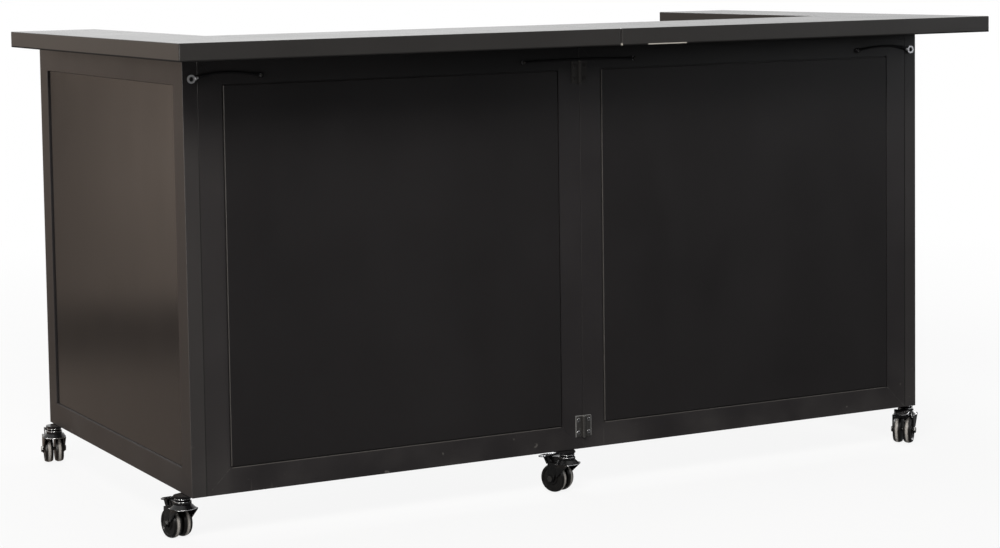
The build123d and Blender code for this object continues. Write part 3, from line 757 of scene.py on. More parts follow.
FINISHES = {
    finish.__name__: finish
    for finish in (
        frame_paint,
        board_laminate,
        top_laminate,
        pad_rubber,
        hinge_black,
        hinge_pin,
        bright_steel,
        axle_steel,
        tie_sheath,
        caster_black,
    )
}


def finish_of(context, slot):
    """The material of a slot, made when it is first asked for."""
    found = bpy.data.materials.get(slot + "_finish")
    if found is None:
        found = FINISHES[slot](context.scene.portable_bar.colours)
        found.name = slot + "_finish"
    return found


# Modelling by hand

def begin():
    """Leave nothing selected before a piece is begun."""
    bpy.ops.object.select_all(action="DESELECT")


def settle():
    """Put the place, turn and size of the selected piece into its mesh."""
    bpy.ops.object.transform_apply(location=True, rotation=True, scale=True)


def pick_edges(test):
    """In edit mode, select the edges whose two ends pass a test."""
    bpy.ops.mesh.select_all(action="DESELECT")
    bpy.ops.mesh.select_mode(type="EDGE")
    mesh = bmesh.from_edit_mesh(bpy.context.object.data)
    for edge in mesh.edges:
        edge.select = all(test(corner.co) for corner in edge.verts)
    mesh.select_flush_mode()
    bmesh.update_edit_mesh(bpy.context.object.data)


def round_edges(test, offset, segments=3):
    """Bevel the edges of the piece in hand whose two ends pass a test."""
    bpy.ops.object.mode_set(mode="EDIT")
    pick_edges(test)
    bpy.ops.mesh.bevel(offset=offset, segments=segments, affect="EDGES")
    bpy.ops.object.mode_set(mode="OBJECT")


def taper(test, gain):
    """Draw in the edges of the piece in hand whose two ends pass a test, towards its upright axis."""
    bpy.ops.object.mode_set(mode="EDIT")
    pick_edges(test)
    bpy.ops.transform.resize(value=(gain, gain, 1.0))
    bpy.ops.object.mode_set(mode="OBJECT")


def above(level):
    """A test that corners above a level pass."""
    return lambda corner: corner.z > level


def below(level):
    """A test that corners below a level pass."""
    return lambda corner: corner.z < level


def smooth(degrees=40):
    """Shade the selected pieces smooth, apart from edges that are sharper than an angle."""
    bpy.ops.object.shade_smooth_by_angle(angle=math.radians(degrees))


def block(middle, size, turn=0.0):
    """A box about a point, turned about its upright axis."""
    begin()
    bpy.ops.mesh.primitive_cube_add(size=1, location=middle, rotation=(0, 0, turn))
    bpy.ops.transform.resize(value=size, orient_type="LOCAL")
    settle()
    return bpy.context.object


def turned(radius, depth, vertices=24):
    """A short round bar on the floor, standing up."""
    begin()
    middle = (0, 0, depth / 2)
    bpy.ops.mesh.primitive_cylinder_add(vertices=vertices, radius=radius, depth=depth, location=middle)
    settle()
    return bpy.context.object


def carve(piece, tool):
    """Cut a tool out of a piece, and throw the tool away."""
    bpy.context.view_layer.objects.active = piece
    recess = piece.modifiers.new("recess", "BOOLEAN")
    recess.operation = "DIFFERENCE"
    recess.object = tool
    bpy.ops.object.modifier_apply(modifier=recess.name)
    bpy.data.objects.remove(tool)


def screw_head(radius, height):
    """A round screw head on the floor, with a rounded rim."""
    head = turned(radius, height)
    round_edges(above(0.9 * height), 0.45 * height)
    return head


def cross_screw(radius, height):
    """A screw head with a cross recess."""
    head = screw_head(radius, height)
    arm = (1.2 * radius, 0.28 * radius, 1.1 * height)
    for degrees in (0, 90):
        carve(head, block((0, 0, height), arm, math.radians(degrees)))
    return head


def socket_screw(radius, height):
    """A screw head with a hexagonal socket right through it."""
    head = screw_head(radius, height)
    begin()
    bpy.ops.mesh.primitive_cylinder_add(
        vertices=6, radius=0.52 * radius, depth=3.0 * height, location=(0, 0, height)
    )
    carve(head, bpy.context.object)
    return head


def grip_rib(width, height):
    """A rounded rib one metre long across Y, to be shortened where it is placed."""
    rib = block((0, 0, height / 2), (width, 1.0, height))
    round_edges(above(0.9 * height), 0.42 * width, 4)
    return rib


def standing(point, out, spin=0.0):
    """The place of a piece that was modelled upright: at a point, pointing out and spun about that line."""
    turn = Vector(out).to_track_quat("Z", "Y").to_matrix().to_4x4()
    return Matrix.Translation(point) @ turn @ Matrix.Rotation(spin, 4, "Z")


def set_out(model, name, places):
    """Copy a model to each place, and join the copies into one piece."""
    copies = []
    begin()
    for place in places:
        copy = model.copy()
        copy.data = model.data.copy()
        copy.data.transform(place)
        bpy.context.collection.objects.link(copy)
        copy.select_set(True)
        copies.append(copy)
    piece = copies[0]
    bpy.context.view_layer.objects.active = piece
    if len(copies) > 1:
        bpy.ops.object.join()
    piece.name = name
    smooth()
    return piece


def coat(piece, material):
    """Leave one material on a piece."""
    piece.data.materials.clear()
    piece.data.materials.append(material)


def dress(context, piece, slot, body):
    """Give a piece its finish and make it ride on a body."""
    coat(piece, finish_of(context, slot))
    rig.slot(piece, slot)
    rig.ride(piece, body)


def spins():
    """Turns of screws as a hand leaves them, the same in each run."""
    turn = 0.4
    while True:
        yield turn
        turn += 2.1


# Operators

class BAR_OT_finishes(bpy.types.Operator):
    """Give every CAD piece the finish of its material slot"""

    bl_idname = "bar.finishes"
    bl_label = "Finish the pieces"

    def execute(self, context):
        for name, node in frame["nodes"].items():
            if SLOT_OF[name] in FINISHES:
                coat(node, finish_of(context, SLOT_OF[name]))
        return {"FINISHED"}


class BAR_OT_wheels(bpy.types.Operator):
    """Give each wheel its own finish, with the tread set out about its axle"""

    bl_idname = "bar.wheels"
    bl_label = "Finish the wheels"

    def execute(self, context):
        colours = context.scene.portable_bar.colours
        for place in CASTERS:
            for side in "ab":
                name = f"caster_{place}_wheel_{side}"
                low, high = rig.box(name)
                axle = JOINTS[f"{place}_wheel_{side}_roll"]["axis"]
                coat(frame["nodes"][name], wheel_black(colours, (low + high) / 2, axle))
        return {"FINISHED"}


def tie_point(along, height):
    """A point of the plane in which the ties lie."""
    return Vector((along, FRONT_Y - TIE_STANDOFF, BASE_Z + height))


def draw_cable(name, route, radius):
    """Draw a cable on a smooth line through its route. Gives its tube and the points that it follows."""
    curve = bpy.data.curves.new(name, "CURVE")
    curve.dimensions = "3D"
    curve.resolution_u = 24
    spline = curve.splines.new("NURBS")
    spline.points.add(len(route) - 1)
    for point, spot in zip(spline.points, route):
        point.co = (*spot, 1.0)
    spline.order_u = 3
    spline.use_endpoint_u = True
    cable = bpy.data.objects.new(name, curve)
    bpy.context.collection.objects.link(cable)
    line = bpy.data.meshes.new_from_object(cable)
    path = [corner.co.copy() for corner in line.vertices]
    bpy.data.meshes.remove(line)
    curve.bevel_depth = radius
    curve.bevel_resolution = 5
    curve.use_fill_caps = True
    begin()
    cable.select_set(True)
    bpy.context.view_layer.objects.active = cable
    bpy.ops.object.convert(target="MESH")
    smooth(50)
    return bpy.context.object, path


def draw_eye(name, centre, radius):
    """The eye at the end of a tie: a ring round a stud, drawn out along the stud."""
    begin()
    bpy.ops.mesh.primitive_torus_add(
        major_segments=40, minor_segments=14, major_radius=radius, minor_radius=EYE_WIRE_RADIUS
    )
    bpy.ops.transform.resize(value=(1.0, 1.0, EYE_STRETCH))
    settle()
    eye = bpy.context.object
    eye.name = name
    eye.data.transform(standing(centre, (0, -1, 0)))
    bpy.ops.object.shade_smooth()
    return eye


def draw_sleeve(name, start, end, radius, girth):
    """A sleeve round a cable between two points. Its girth is the gain on a radius at its start and end."""
    thick, thin = (gain * radius for gain in girth)
    run = end - start
    sleeve = turned(thick, run.length)
    sleeve.name = name
    tip = above(0.9 * run.length)
    taper(tip, thin / thick)
    for rim in (tip, below(0.1 * run.length)):
        round_edges(rim, 0.25 * thin)
    sleeve.data.transform(standing(start, run))
    smooth()
    return sleeve


def lay_cord(cable, path, radius, pieces):
    """Tell how a tie lies: stiff, and taut between its ends, with the pieces that go with it."""
    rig.cord(
        cable,
        exit=path[0],
        length=sum((after - before).length for before, after in zip(path, path[1:])),
        diameter=2 * radius,
        far_end="object",
        stiffness="stiff",
        lay="taut",
        path=path,
        with_pieces=pieces,
    )


class BAR_OT_ties(bpy.types.Operator):
    """Lay the tie cables across the joints of the panels, with their eyes and sleeves"""

    bl_idname = "bar.ties"
    bl_label = "Lay the ties"

    FERRULE_OVERLAP = 0.001
    FERRULE_LENGTH = 0.007
    CORNER_CRIMP = 0.011
    CENTRE_CRIMP = 0.012
    FERRULE_GIRTH = (1.1, 0.7)
    SLEEVE_GIRTH = (1.0, 0.88)
    CRIMP_GIRTH = (0.95, 0.8)
    CAP_SINK = 0.6
    CAP_DOME = 0.7

    def execute(self, context):
        fittings = context.scene.portable_bar.fittings
        for side, sign in SIDES.items():
            self.corner_tie(context, fittings, side, sign)
            self.stud_caps(context, fittings, side, sign)
        self.centre_tie(context, fittings)
        return {"FINISHED"}

    def stud_caps(self, context, fittings, side, sign):
        """A domed cap on the end of each stud that a tie hooks over."""
        radius = fittings.cap_radius
        cap = turned(radius, radius)
        round_edges(above(0.9 * radius), self.CAP_DOME * radius, 5)
        stud_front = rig.box(f"tie_studs_{side}")[0].y
        corner_along, corner_height = CORNER_STUD
        centre_along, centre_height = CENTRE_STUD
        points = (
            tie_point(sign * (END_REACH - corner_along), corner_height),
            tie_point(sign * centre_along, centre_height),
        )
        places = []
        for point in points:
            point.y = stud_front + self.CAP_SINK * radius
            places.append(standing(point, (0, -1, 0)))
        dress(context, set_out(cap, f"stud_caps_{side}", places), "hinge_black", f"front_{side}")
        bpy.data.objects.remove(cap)

    def corner_tie(self, context, fittings, side, sign):
        """A tie from the ring on an end panel to a stud on the front."""
        end_x = sign * END_REACH
        route = [tie_point(end_x - sign * along, height) for along, height in CORNER_ROUTE]
        name = f"{side}_tie"
        body = f"{side}_end"
        cable, path = draw_cable(f"{name}_line", route, fittings.tie_radius)
        stud_along, stud_height = CORNER_STUD
        eye = draw_eye(f"{name}_eye", tie_point(end_x - sign * stud_along, stud_height), CORNER_EYE_RADIUS)
        towards = (route[1] - route[0]).normalized()
        ferrule_start = route[0] - self.FERRULE_OVERLAP * towards
        ferrule_end = route[0] + self.FERRULE_LENGTH * towards
        sleeve_end = ferrule_end + fittings.sleeve_length * towards
        radius = fittings.sleeve_radius
        ferrule = draw_sleeve(f"{name}_ferrule", ferrule_start, ferrule_end, radius, self.FERRULE_GIRTH)
        sleeve = draw_sleeve(f"{name}_sleeve", ferrule_end, sleeve_end, radius, self.SLEEVE_GIRTH)
        crimp = self.crimp(f"{name}_crimp", route[-1], route[-2], self.CORNER_CRIMP, radius)
        for piece in (cable, eye, sleeve, crimp):
            dress(context, piece, "tie_sheath", body)
        dress(context, ferrule, "bright_steel", body)
        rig.replaces(cable, f"{side}_tie_cable")
        lay_cord(cable, path, fittings.tie_radius, [eye, ferrule, sleeve, crimp])

    def crimp(self, name, tip, before, length, radius):
        """A crimp at the tip of a cable, on its last run."""
        start = tip + length * (before - tip).normalized()
        return draw_sleeve(name, start, tip, radius, self.CRIMP_GIRTH)

    def centre_tie(self, context, fittings):
        """The tie across the joint of the front panels, from stud to stud."""
        route = [tie_point(along, height) for along, height in CENTRE_ROUTE]
        cable, path = draw_cable("centre_tie_line", route, fittings.tie_radius)
        stud_along, stud_height = CENTRE_STUD
        extras = []
        for side, sign in SIDES.items():
            stud = tie_point(sign * stud_along, stud_height)
            eye = draw_eye(f"centre_tie_eye_{side}", stud, CENTRE_EYE_RADIUS)
            tip, before = route[:2] if sign < 0 else route[:-3:-1]
            name = f"centre_tie_crimp_{side}"
            crimp = self.crimp(name, tip, before, self.CENTRE_CRIMP, fittings.sleeve_radius)
            for piece in (eye, crimp):
                dress(context, piece, "tie_sheath", f"front_{side}")
                extras.append(piece)
        coat(cable, finish_of(context, "tie_sheath"))
        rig.slot(cable, "tie_sheath")
        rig.replaces(cable, "centre_tie_cable")
        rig.blend(cable, "front_left", "front_right", start=route[1], end=route[-2])
        lay_cord(cable, path, fittings.tie_radius, extras)


class BAR_OT_hinge_screws(bpy.types.Operator):
    """Put two screws in each leaf of the six hinges"""

    bl_idname = "bar.hinge_screws"
    bl_label = "Screw on the hinges"

    FROM_PIN = 0.0135
    FROM_MIDDLE = 0.0145
    PIN_HEAD = 0.0012
    KNUCKLE_OFFSET = 0.0044
    LEAF_THICKNESS = 0.0018

    def execute(self, context):
        fittings = context.scene.portable_bar.fittings
        screw = socket_screw(fittings.hinge_screw_radius, fittings.hinge_screw_height)
        rows = [
            ("centre_hinge_pins", (-1, 0, 0), (0, -1, 0), "centre_left", "front_left"),
            ("centre_hinge_pins", (1, 0, 0), (0, -1, 0), "centre_right", "front_right"),
        ]
        for side, sign in SIDES.items():
            pins = f"{side}_hinge_pins"
            rows.append((pins, (-sign, 0, 0), (0, 1, 0), f"{side}_front", f"front_{side}"))
            rows.append((pins, (0, 1, 0), (-sign, 0, 0), f"{side}_end", f"{side}_end"))
        turns = spins()
        for pins, along, out, name, body in rows:
            places = [standing(point, out, next(turns)) for point in self.points(pins, along, out)]
            lower = set_out(screw, f"hinge_screws_{name}_lower", places[:2])
            upper = set_out(screw, f"hinge_screws_{name}_upper", places[2:])
            # Painted shade: the lower screws are bright plate, while the upper ones take the black finish to stand in
            # for the shade under the top
            dress(context, lower, "bright_steel", body)
            dress(context, upper, "hinge_black", body)
        bpy.data.objects.remove(screw)
        return {"FINISHED"}

    def points(self, pins, along, out):
        """The four places of the screws on the leaves of one side of a hinge line."""
        low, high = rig.box(pins)
        seat = (low + high) / 2 - Vector(out) * (self.KNUCKLE_OFFSET - self.LEAF_THICKNESS)
        reach = self.PIN_HEAD + HINGE_HEIGHT / 2
        for middle in (low.z + reach, high.z - reach):
            for step in (-self.FROM_MIDDLE, self.FROM_MIDDLE):
                point = seat + Vector(along) * self.FROM_PIN
                point.z = middle + step
                yield point


class BAR_OT_board_screws(bpy.types.Operator):
    """Put screws through the fins behind the boards"""

    bl_idname = "bar.board_screws"
    bl_label = "Screw in the boards"

    FROM_OUTLINE = 0.062
    FIN_THICKNESS = 0.002
    SHARES = (0.12, 0.5, 0.88)

    def execute(self, context):
        fittings = context.scene.portable_bar.fittings
        screw = cross_screw(fittings.board_screw_radius, fittings.board_screw_height)
        turns = spins()
        for panel, along, inward in (
            ("front_left", (1, 0, 0), (0, 1, 0)),
            ("front_right", (1, 0, 0), (0, 1, 0)),
            ("left_end", (0, 1, 0), (1, 0, 0)),
            ("right_end", (0, 1, 0), (-1, 0, 0)),
        ):
            points = self.points(panel, Vector(along), Vector(inward))
            places = [standing(point, inward, next(turns)) for point in points]
            dress(context, set_out(screw, f"board_screws_{panel}", places), "axle_steel", panel)
        bpy.data.objects.remove(screw)
        return {"FINISHED"}

    def points(self, panel, along, inward):
        """The places of the screws round one board, on the inner face of its fins."""
        low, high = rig.box(f"frame_{panel}")
        board_low, board_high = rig.box(f"board_{panel}")
        middle = (low + high) / 2
        back = max(board_low.dot(inward), board_high.dot(inward)) + self.FIN_THICKNESS
        middle += inward * (back - middle.dot(inward))
        half_run = (high - low).dot(along) / 2 - self.FROM_OUTLINE
        half_rise = (high - low).z / 2 - self.FROM_OUTLINE
        up = Vector((0, 0, 1))
        for share in self.SHARES:
            for sign in (-1, 1):
                yield middle + along * half_run * (2 * share - 1) + up * half_rise * sign
                yield middle + along * half_run * sign + up * half_rise * (2 * share - 1)


class BAR_OT_board_sills(bpy.types.Operator):
    """Lay a bead along the foot of each end board, where it rests on its rail"""

    bl_idname = "bar.board_sills"
    bl_label = "Bed the end boards"

    PROUD = 0.001
    DEPTH = 0.005
    EDGE = 0.0009

    def execute(self, context):
        for side, sign in SIDES.items():
            low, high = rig.box(f"board_{side}_end")
            middle = (low + high) / 2
            face = middle.x + sign * (high.x - low.x) / 2
            middle.x = face + sign * (self.PROUD - self.DEPTH / 2)
            middle.z = (RAIL_TOP + low.z) / 2
            sill = block(middle, (self.DEPTH, high.y - low.y, low.z - RAIL_TOP))
            round_edges(above(middle.z), self.EDGE)
            sill.name = f"board_sill_{side}"
            smooth()
            dress(context, sill, "frame_paint", f"{side}_end")
        return {"FINISHED"}


def caster_frame(place):
    """The place of a caster: its swivel axis at the foot of the frames, turned the way that it trails."""
    swivel = Vector(JOINTS[f"{place}_swivel_turn"]["pos_m"])
    axle = Vector(JOINTS[f"{place}_wheel_a_roll"]["pos_m"])
    heading = math.atan2(axle.y - swivel.y, axle.x - swivel.x)
    return Matrix.Translation((swivel.x, swivel.y, BASE_Z)) @ Matrix.Rotation(heading, 4, "Z")


class BAR_OT_plate_screws(bpy.types.Operator):
    """Screw the plates of the casters to the rails"""

    bl_idname = "bar.plate_screws"
    bl_label = "Screw on the casters"

    FROM_AXIS = 0.020
    BEHIND_MIDDLE = 0.005
    INWARD = {"left_end": (1, 0, 0), "right_end": (-1, 0, 0), "front_left": (0, 1, 0)}

    def execute(self, context):
        fittings = context.scene.portable_bar.fittings
        screw = cross_screw(fittings.plate_screw_radius, fittings.plate_screw_height)
        turns = spins()
        for place in CASTERS:
            panel = JOINTS[f"{place}_swivel_turn"]["parent"]
            points = self.points(place, panel)
            places = [standing(point, (0, 0, -1), next(turns)) for point in points]
            dress(context, set_out(screw, f"caster_{place}_screws", places), "axle_steel", panel)
        bpy.data.objects.remove(screw)
        return {"FINISHED"}

    def points(self, place, panel):
        """The two places under a plate, a little behind the middle of the rail that carries it."""
        inward = Vector(self.INWARD[panel])
        low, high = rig.box(f"frame_{panel}")
        middle = Vector(JOINTS[f"{place}_swivel_turn"]["pos_m"])
        middle += inward * (((low + high) / 2 - middle).dot(inward) + self.BEHIND_MIDDLE)
        middle.z = BASE_Z - PLATE_FOOT
        along = inward.cross((0, 0, 1))
        return [middle + along * sign * self.FROM_AXIS for sign in (-1, 1)]


class BAR_OT_snap_rings(bpy.types.Operator):
    """Put a snap ring round the race and round the swivel of each caster"""

    bl_idname = "bar.snap_rings"
    bl_label = "Ring the swivels"

    RACE_RADIUS = 0.0175
    RACE_DROP = 0.0075
    SWIVEL_RADIUS = 0.01887
    SWIVEL_DROP = 0.0134
    GAP = 0.002

    def execute(self, context):
        thickness = context.scene.portable_bar.fittings.rim_radius
        for kind, radius, drop, carrier in (
            ("race", self.RACE_RADIUS, self.RACE_DROP, "parent"),
            ("swivel", self.SWIVEL_RADIUS, self.SWIVEL_DROP, "child"),
        ):
            model = self.snap_ring(radius, thickness)
            for place in CASTERS:
                spot = caster_frame(place) @ Matrix.Translation((0, 0, -drop))
                ring = set_out(model, f"caster_{place}_{kind}_ring", [spot])
                dress(context, ring, "bright_steel", JOINTS[f"{place}_swivel_turn"][carrier])
            bpy.data.objects.remove(model)
        return {"FINISHED"}

    def snap_ring(self, radius, thickness):
        """A wire ring lying flat, with a gap between its ends."""
        begin()
        bpy.ops.mesh.primitive_torus_add(
            major_segments=64, minor_segments=12, major_radius=radius, minor_radius=thickness
        )
        ring = bpy.context.object
        carve(ring, block((radius, 0, 0), (6 * thickness, self.GAP, 6 * thickness)))
        return ring


class BAR_OT_fork_fronts(bpy.types.Operator):
    """Close each caster's fork with an apron, two cheeks, a skirt, a rolled lip and a housing"""

    bl_idname = "bar.fork_fronts"
    bl_label = "Close the forks"

    FRONT = -0.0195
    BACK = 0.014
    HALF_WIDTH = 0.027
    TOP = -0.0273
    APRON_THICKNESS = 0.0024
    APRON_CORNER = 0.004
    SKIRT_FOOT_RADIUS = 0.0285
    SKIRT_TOP_RADIUS = 0.0200
    SKIRT_TOP = -0.0195
    SKIRT_EDGE = 0.0016
    HOUSING_BACK = 0.0352
    HOUSING_WIDTH = 0.026
    HOUSING_TOP = -0.0140
    HOUSING_CORNER = 0.003
    CHEEK_THICKNESS = 0.0028
    CHEEK_FOOT = -0.058
    CHEEK_FRONT_FOOT = -0.031
    CHEEK_BACK = 0.010
    LIP_RADIUS = 0.0010
    LIP_DEGREES = (-30, -15, 0, 15, 30)

    def execute(self, context):
        middle = [Matrix.Identity(4)]
        offset = self.HALF_WIDTH - 0.55 * self.CHEEK_THICKNESS
        sides = [Matrix.Translation((0, sign * offset, 0)) for sign in SIDES.values()]
        pressings = (
            ("apron", self.apron(), middle),
            ("cheeks", self.cheek(), sides),
            ("skirt", self.skirt(), middle),
            ("housing", self.housing(), middle),
        )
        for place in CASTERS:
            foot = caster_frame(place)
            body = JOINTS[f"{place}_swivel_turn"]["child"]
            for name, model, spots in pressings:
                piece = set_out(model, f"caster_{place}_{name}", [foot @ spot for spot in spots])
                dress(context, piece, "caster_black", body)
            lip, _ = draw_cable(f"caster_{place}_lip", self.lip_route(foot), self.LIP_RADIUS)
            dress(context, lip, "bright_steel", body)
        for _, model, _ in pressings:
            bpy.data.objects.remove(model)
        return {"FINISHED"}

    def plate(self, width, low):
        """A block between the front and the back, so wide, from a low level up to the top of the fork."""
        middle = ((self.FRONT + self.BACK) / 2, 0, (self.TOP + low) / 2)
        return block(middle, (self.BACK - self.FRONT, width, self.TOP - low))

    def apron(self):
        """The flat front of the crown, with round corners."""
        low = self.TOP - self.APRON_THICKNESS
        apron = self.plate(2 * self.HALF_WIDTH, low)
        for sign in SIDES.values():
            round_edges(lambda corner: corner.x < 0 and sign * corner.y > 0, self.APRON_CORNER, 6)
        round_edges(above(self.TOP - 0.1 * self.APRON_THICKNESS), 0.3 * self.APRON_THICKNESS)
        return apron

    def skirt(self):
        """The round skirt of the crown, drawn in towards the swivel."""
        foot = self.TOP - self.APRON_THICKNESS
        rise = self.SKIRT_TOP - foot
        skirt = turned(self.SKIRT_FOOT_RADIUS, rise, 64)
        round_edges(below(0.1 * rise), self.SKIRT_EDGE, 4)
        taper(above(0.9 * rise), self.SKIRT_TOP_RADIUS / self.SKIRT_FOOT_RADIUS)
        skirt.data.transform(Matrix.Translation((0, 0, foot)))
        return skirt

    def housing(self):
        """The pressed housing of the brake's spring, between the swivel and the pedal."""
        rise = self.HOUSING_TOP - self.TOP
        middle = (self.HOUSING_BACK / 2, 0, self.TOP + rise / 2)
        housing = block(middle, (self.HOUSING_BACK, self.HOUSING_WIDTH, rise))
        round_edges(above(self.TOP + 0.9 * rise), self.HOUSING_CORNER)
        return housing

    def cheek(self):
        """A side of the fork in front of its arm, cut back towards the axle."""
        cheek = self.plate(self.CHEEK_THICKNESS, self.CHEEK_FOOT)
        start = Vector((self.FRONT, 0, self.CHEEK_FRONT_FOOT))
        end = Vector((self.CHEEK_BACK, 0, self.CHEEK_FOOT))
        run = end - start
        bpy.ops.object.mode_set(mode="EDIT")
        bpy.ops.mesh.select_all(action="SELECT")
        bpy.ops.mesh.bisect(plane_co=start, plane_no=(run.z, 0, -run.x), use_fill=True, clear_outer=True)
        bpy.ops.object.mode_set(mode="OBJECT")
        round_edges(lambda corner: corner.y > 0, 0.3 * self.CHEEK_THICKNESS, 2)
        round_edges(lambda corner: corner.y < 0, 0.3 * self.CHEEK_THICKNESS, 2)
        return cheek

    def lip_route(self, foot):
        """The line of the rolled lip round the front of the apron."""
        level = self.TOP - self.APRON_THICKNESS / 2
        half = self.HALF_WIDTH
        radius = self.SKIRT_FOOT_RADIUS
        outline = [(self.BACK, -half), (self.FRONT, -half)]
        for degrees in self.LIP_DEGREES:
            turn = math.radians(degrees)
            outline.append((-radius * math.cos(turn), radius * math.sin(turn)))
        outline += [(self.FRONT, half), (self.BACK, half)]
        return [foot @ Vector((along, across, level)) for along, across in outline]


class BAR_OT_pedal_ribs(bpy.types.Operator):
    """Put grip ribs across the brake pedals, and a rolled rim round them"""

    bl_idname = "bar.pedal_ribs"
    bl_label = "Rib the pedals"

    SLOPE = math.radians(8)
    HALF_THICKNESS = 0.00125
    FIRST_RIB = 0.008
    RIB_PITCH = 0.006
    RIBS = 5
    END_START = 0.0198
    END_RADIUS = 0.018
    MARGIN = 0.003
    BEAD_SINK = 0.0019
    BEAD_STEPS = 6

    def execute(self, context):
        fittings = context.scene.portable_bar.fittings
        rib = grip_rib(fittings.rib_width, fittings.rib_height)
        for place in CASTERS:
            pin = Vector(JOINTS[f"{place}_brake"]["pos_m"])
            turn = caster_frame(place).to_3x3().to_4x4()
            pedal = Matrix.Translation(pin) @ turn @ Matrix.Rotation(self.SLOPE, 4, "Y")
            places = [pedal @ self.rib_place(index) for index in range(self.RIBS)]
            ribs = set_out(rib, f"caster_{place}_pedal_ribs", places)
            dress(context, ribs, "caster_black", f"{place}_pedal")
            bead, _ = draw_cable(f"caster_{place}_pedal_bead", self.bead_route(pedal), fittings.bead_radius)
            dress(context, bead, "bright_steel", f"{place}_pedal")
        bpy.data.objects.remove(rib)
        return {"FINISHED"}

    def bead_route(self, pedal):
        """The line of the rolled rim: forward along one side of the plate, round its end and back."""
        side = self.END_RADIUS - self.BEAD_SINK
        route = [Vector((self.FIRST_RIB, -side, 0))]
        for step in range(-self.BEAD_STEPS, self.BEAD_STEPS + 1):
            turn = math.radians(90) * step / self.BEAD_STEPS
            route.append(Vector((self.END_START + side * math.cos(turn), side * math.sin(turn), 0)))
        route.append(Vector((self.FIRST_RIB, side, 0)))
        return [pedal @ point for point in route]

    def rib_place(self, index):
        """The place of a rib on the pedal's plate, shortened where the end of the plate is round."""
        run = self.FIRST_RIB + index * self.RIB_PITCH
        past = max(0.0, run - self.END_START)
        half = math.sqrt(self.END_RADIUS ** 2 - past ** 2) - self.MARGIN
        return Matrix.Translation((run, 0, self.HALF_THICKNESS)) @ Matrix.Diagonal((1, 2 * half, 1, 1))


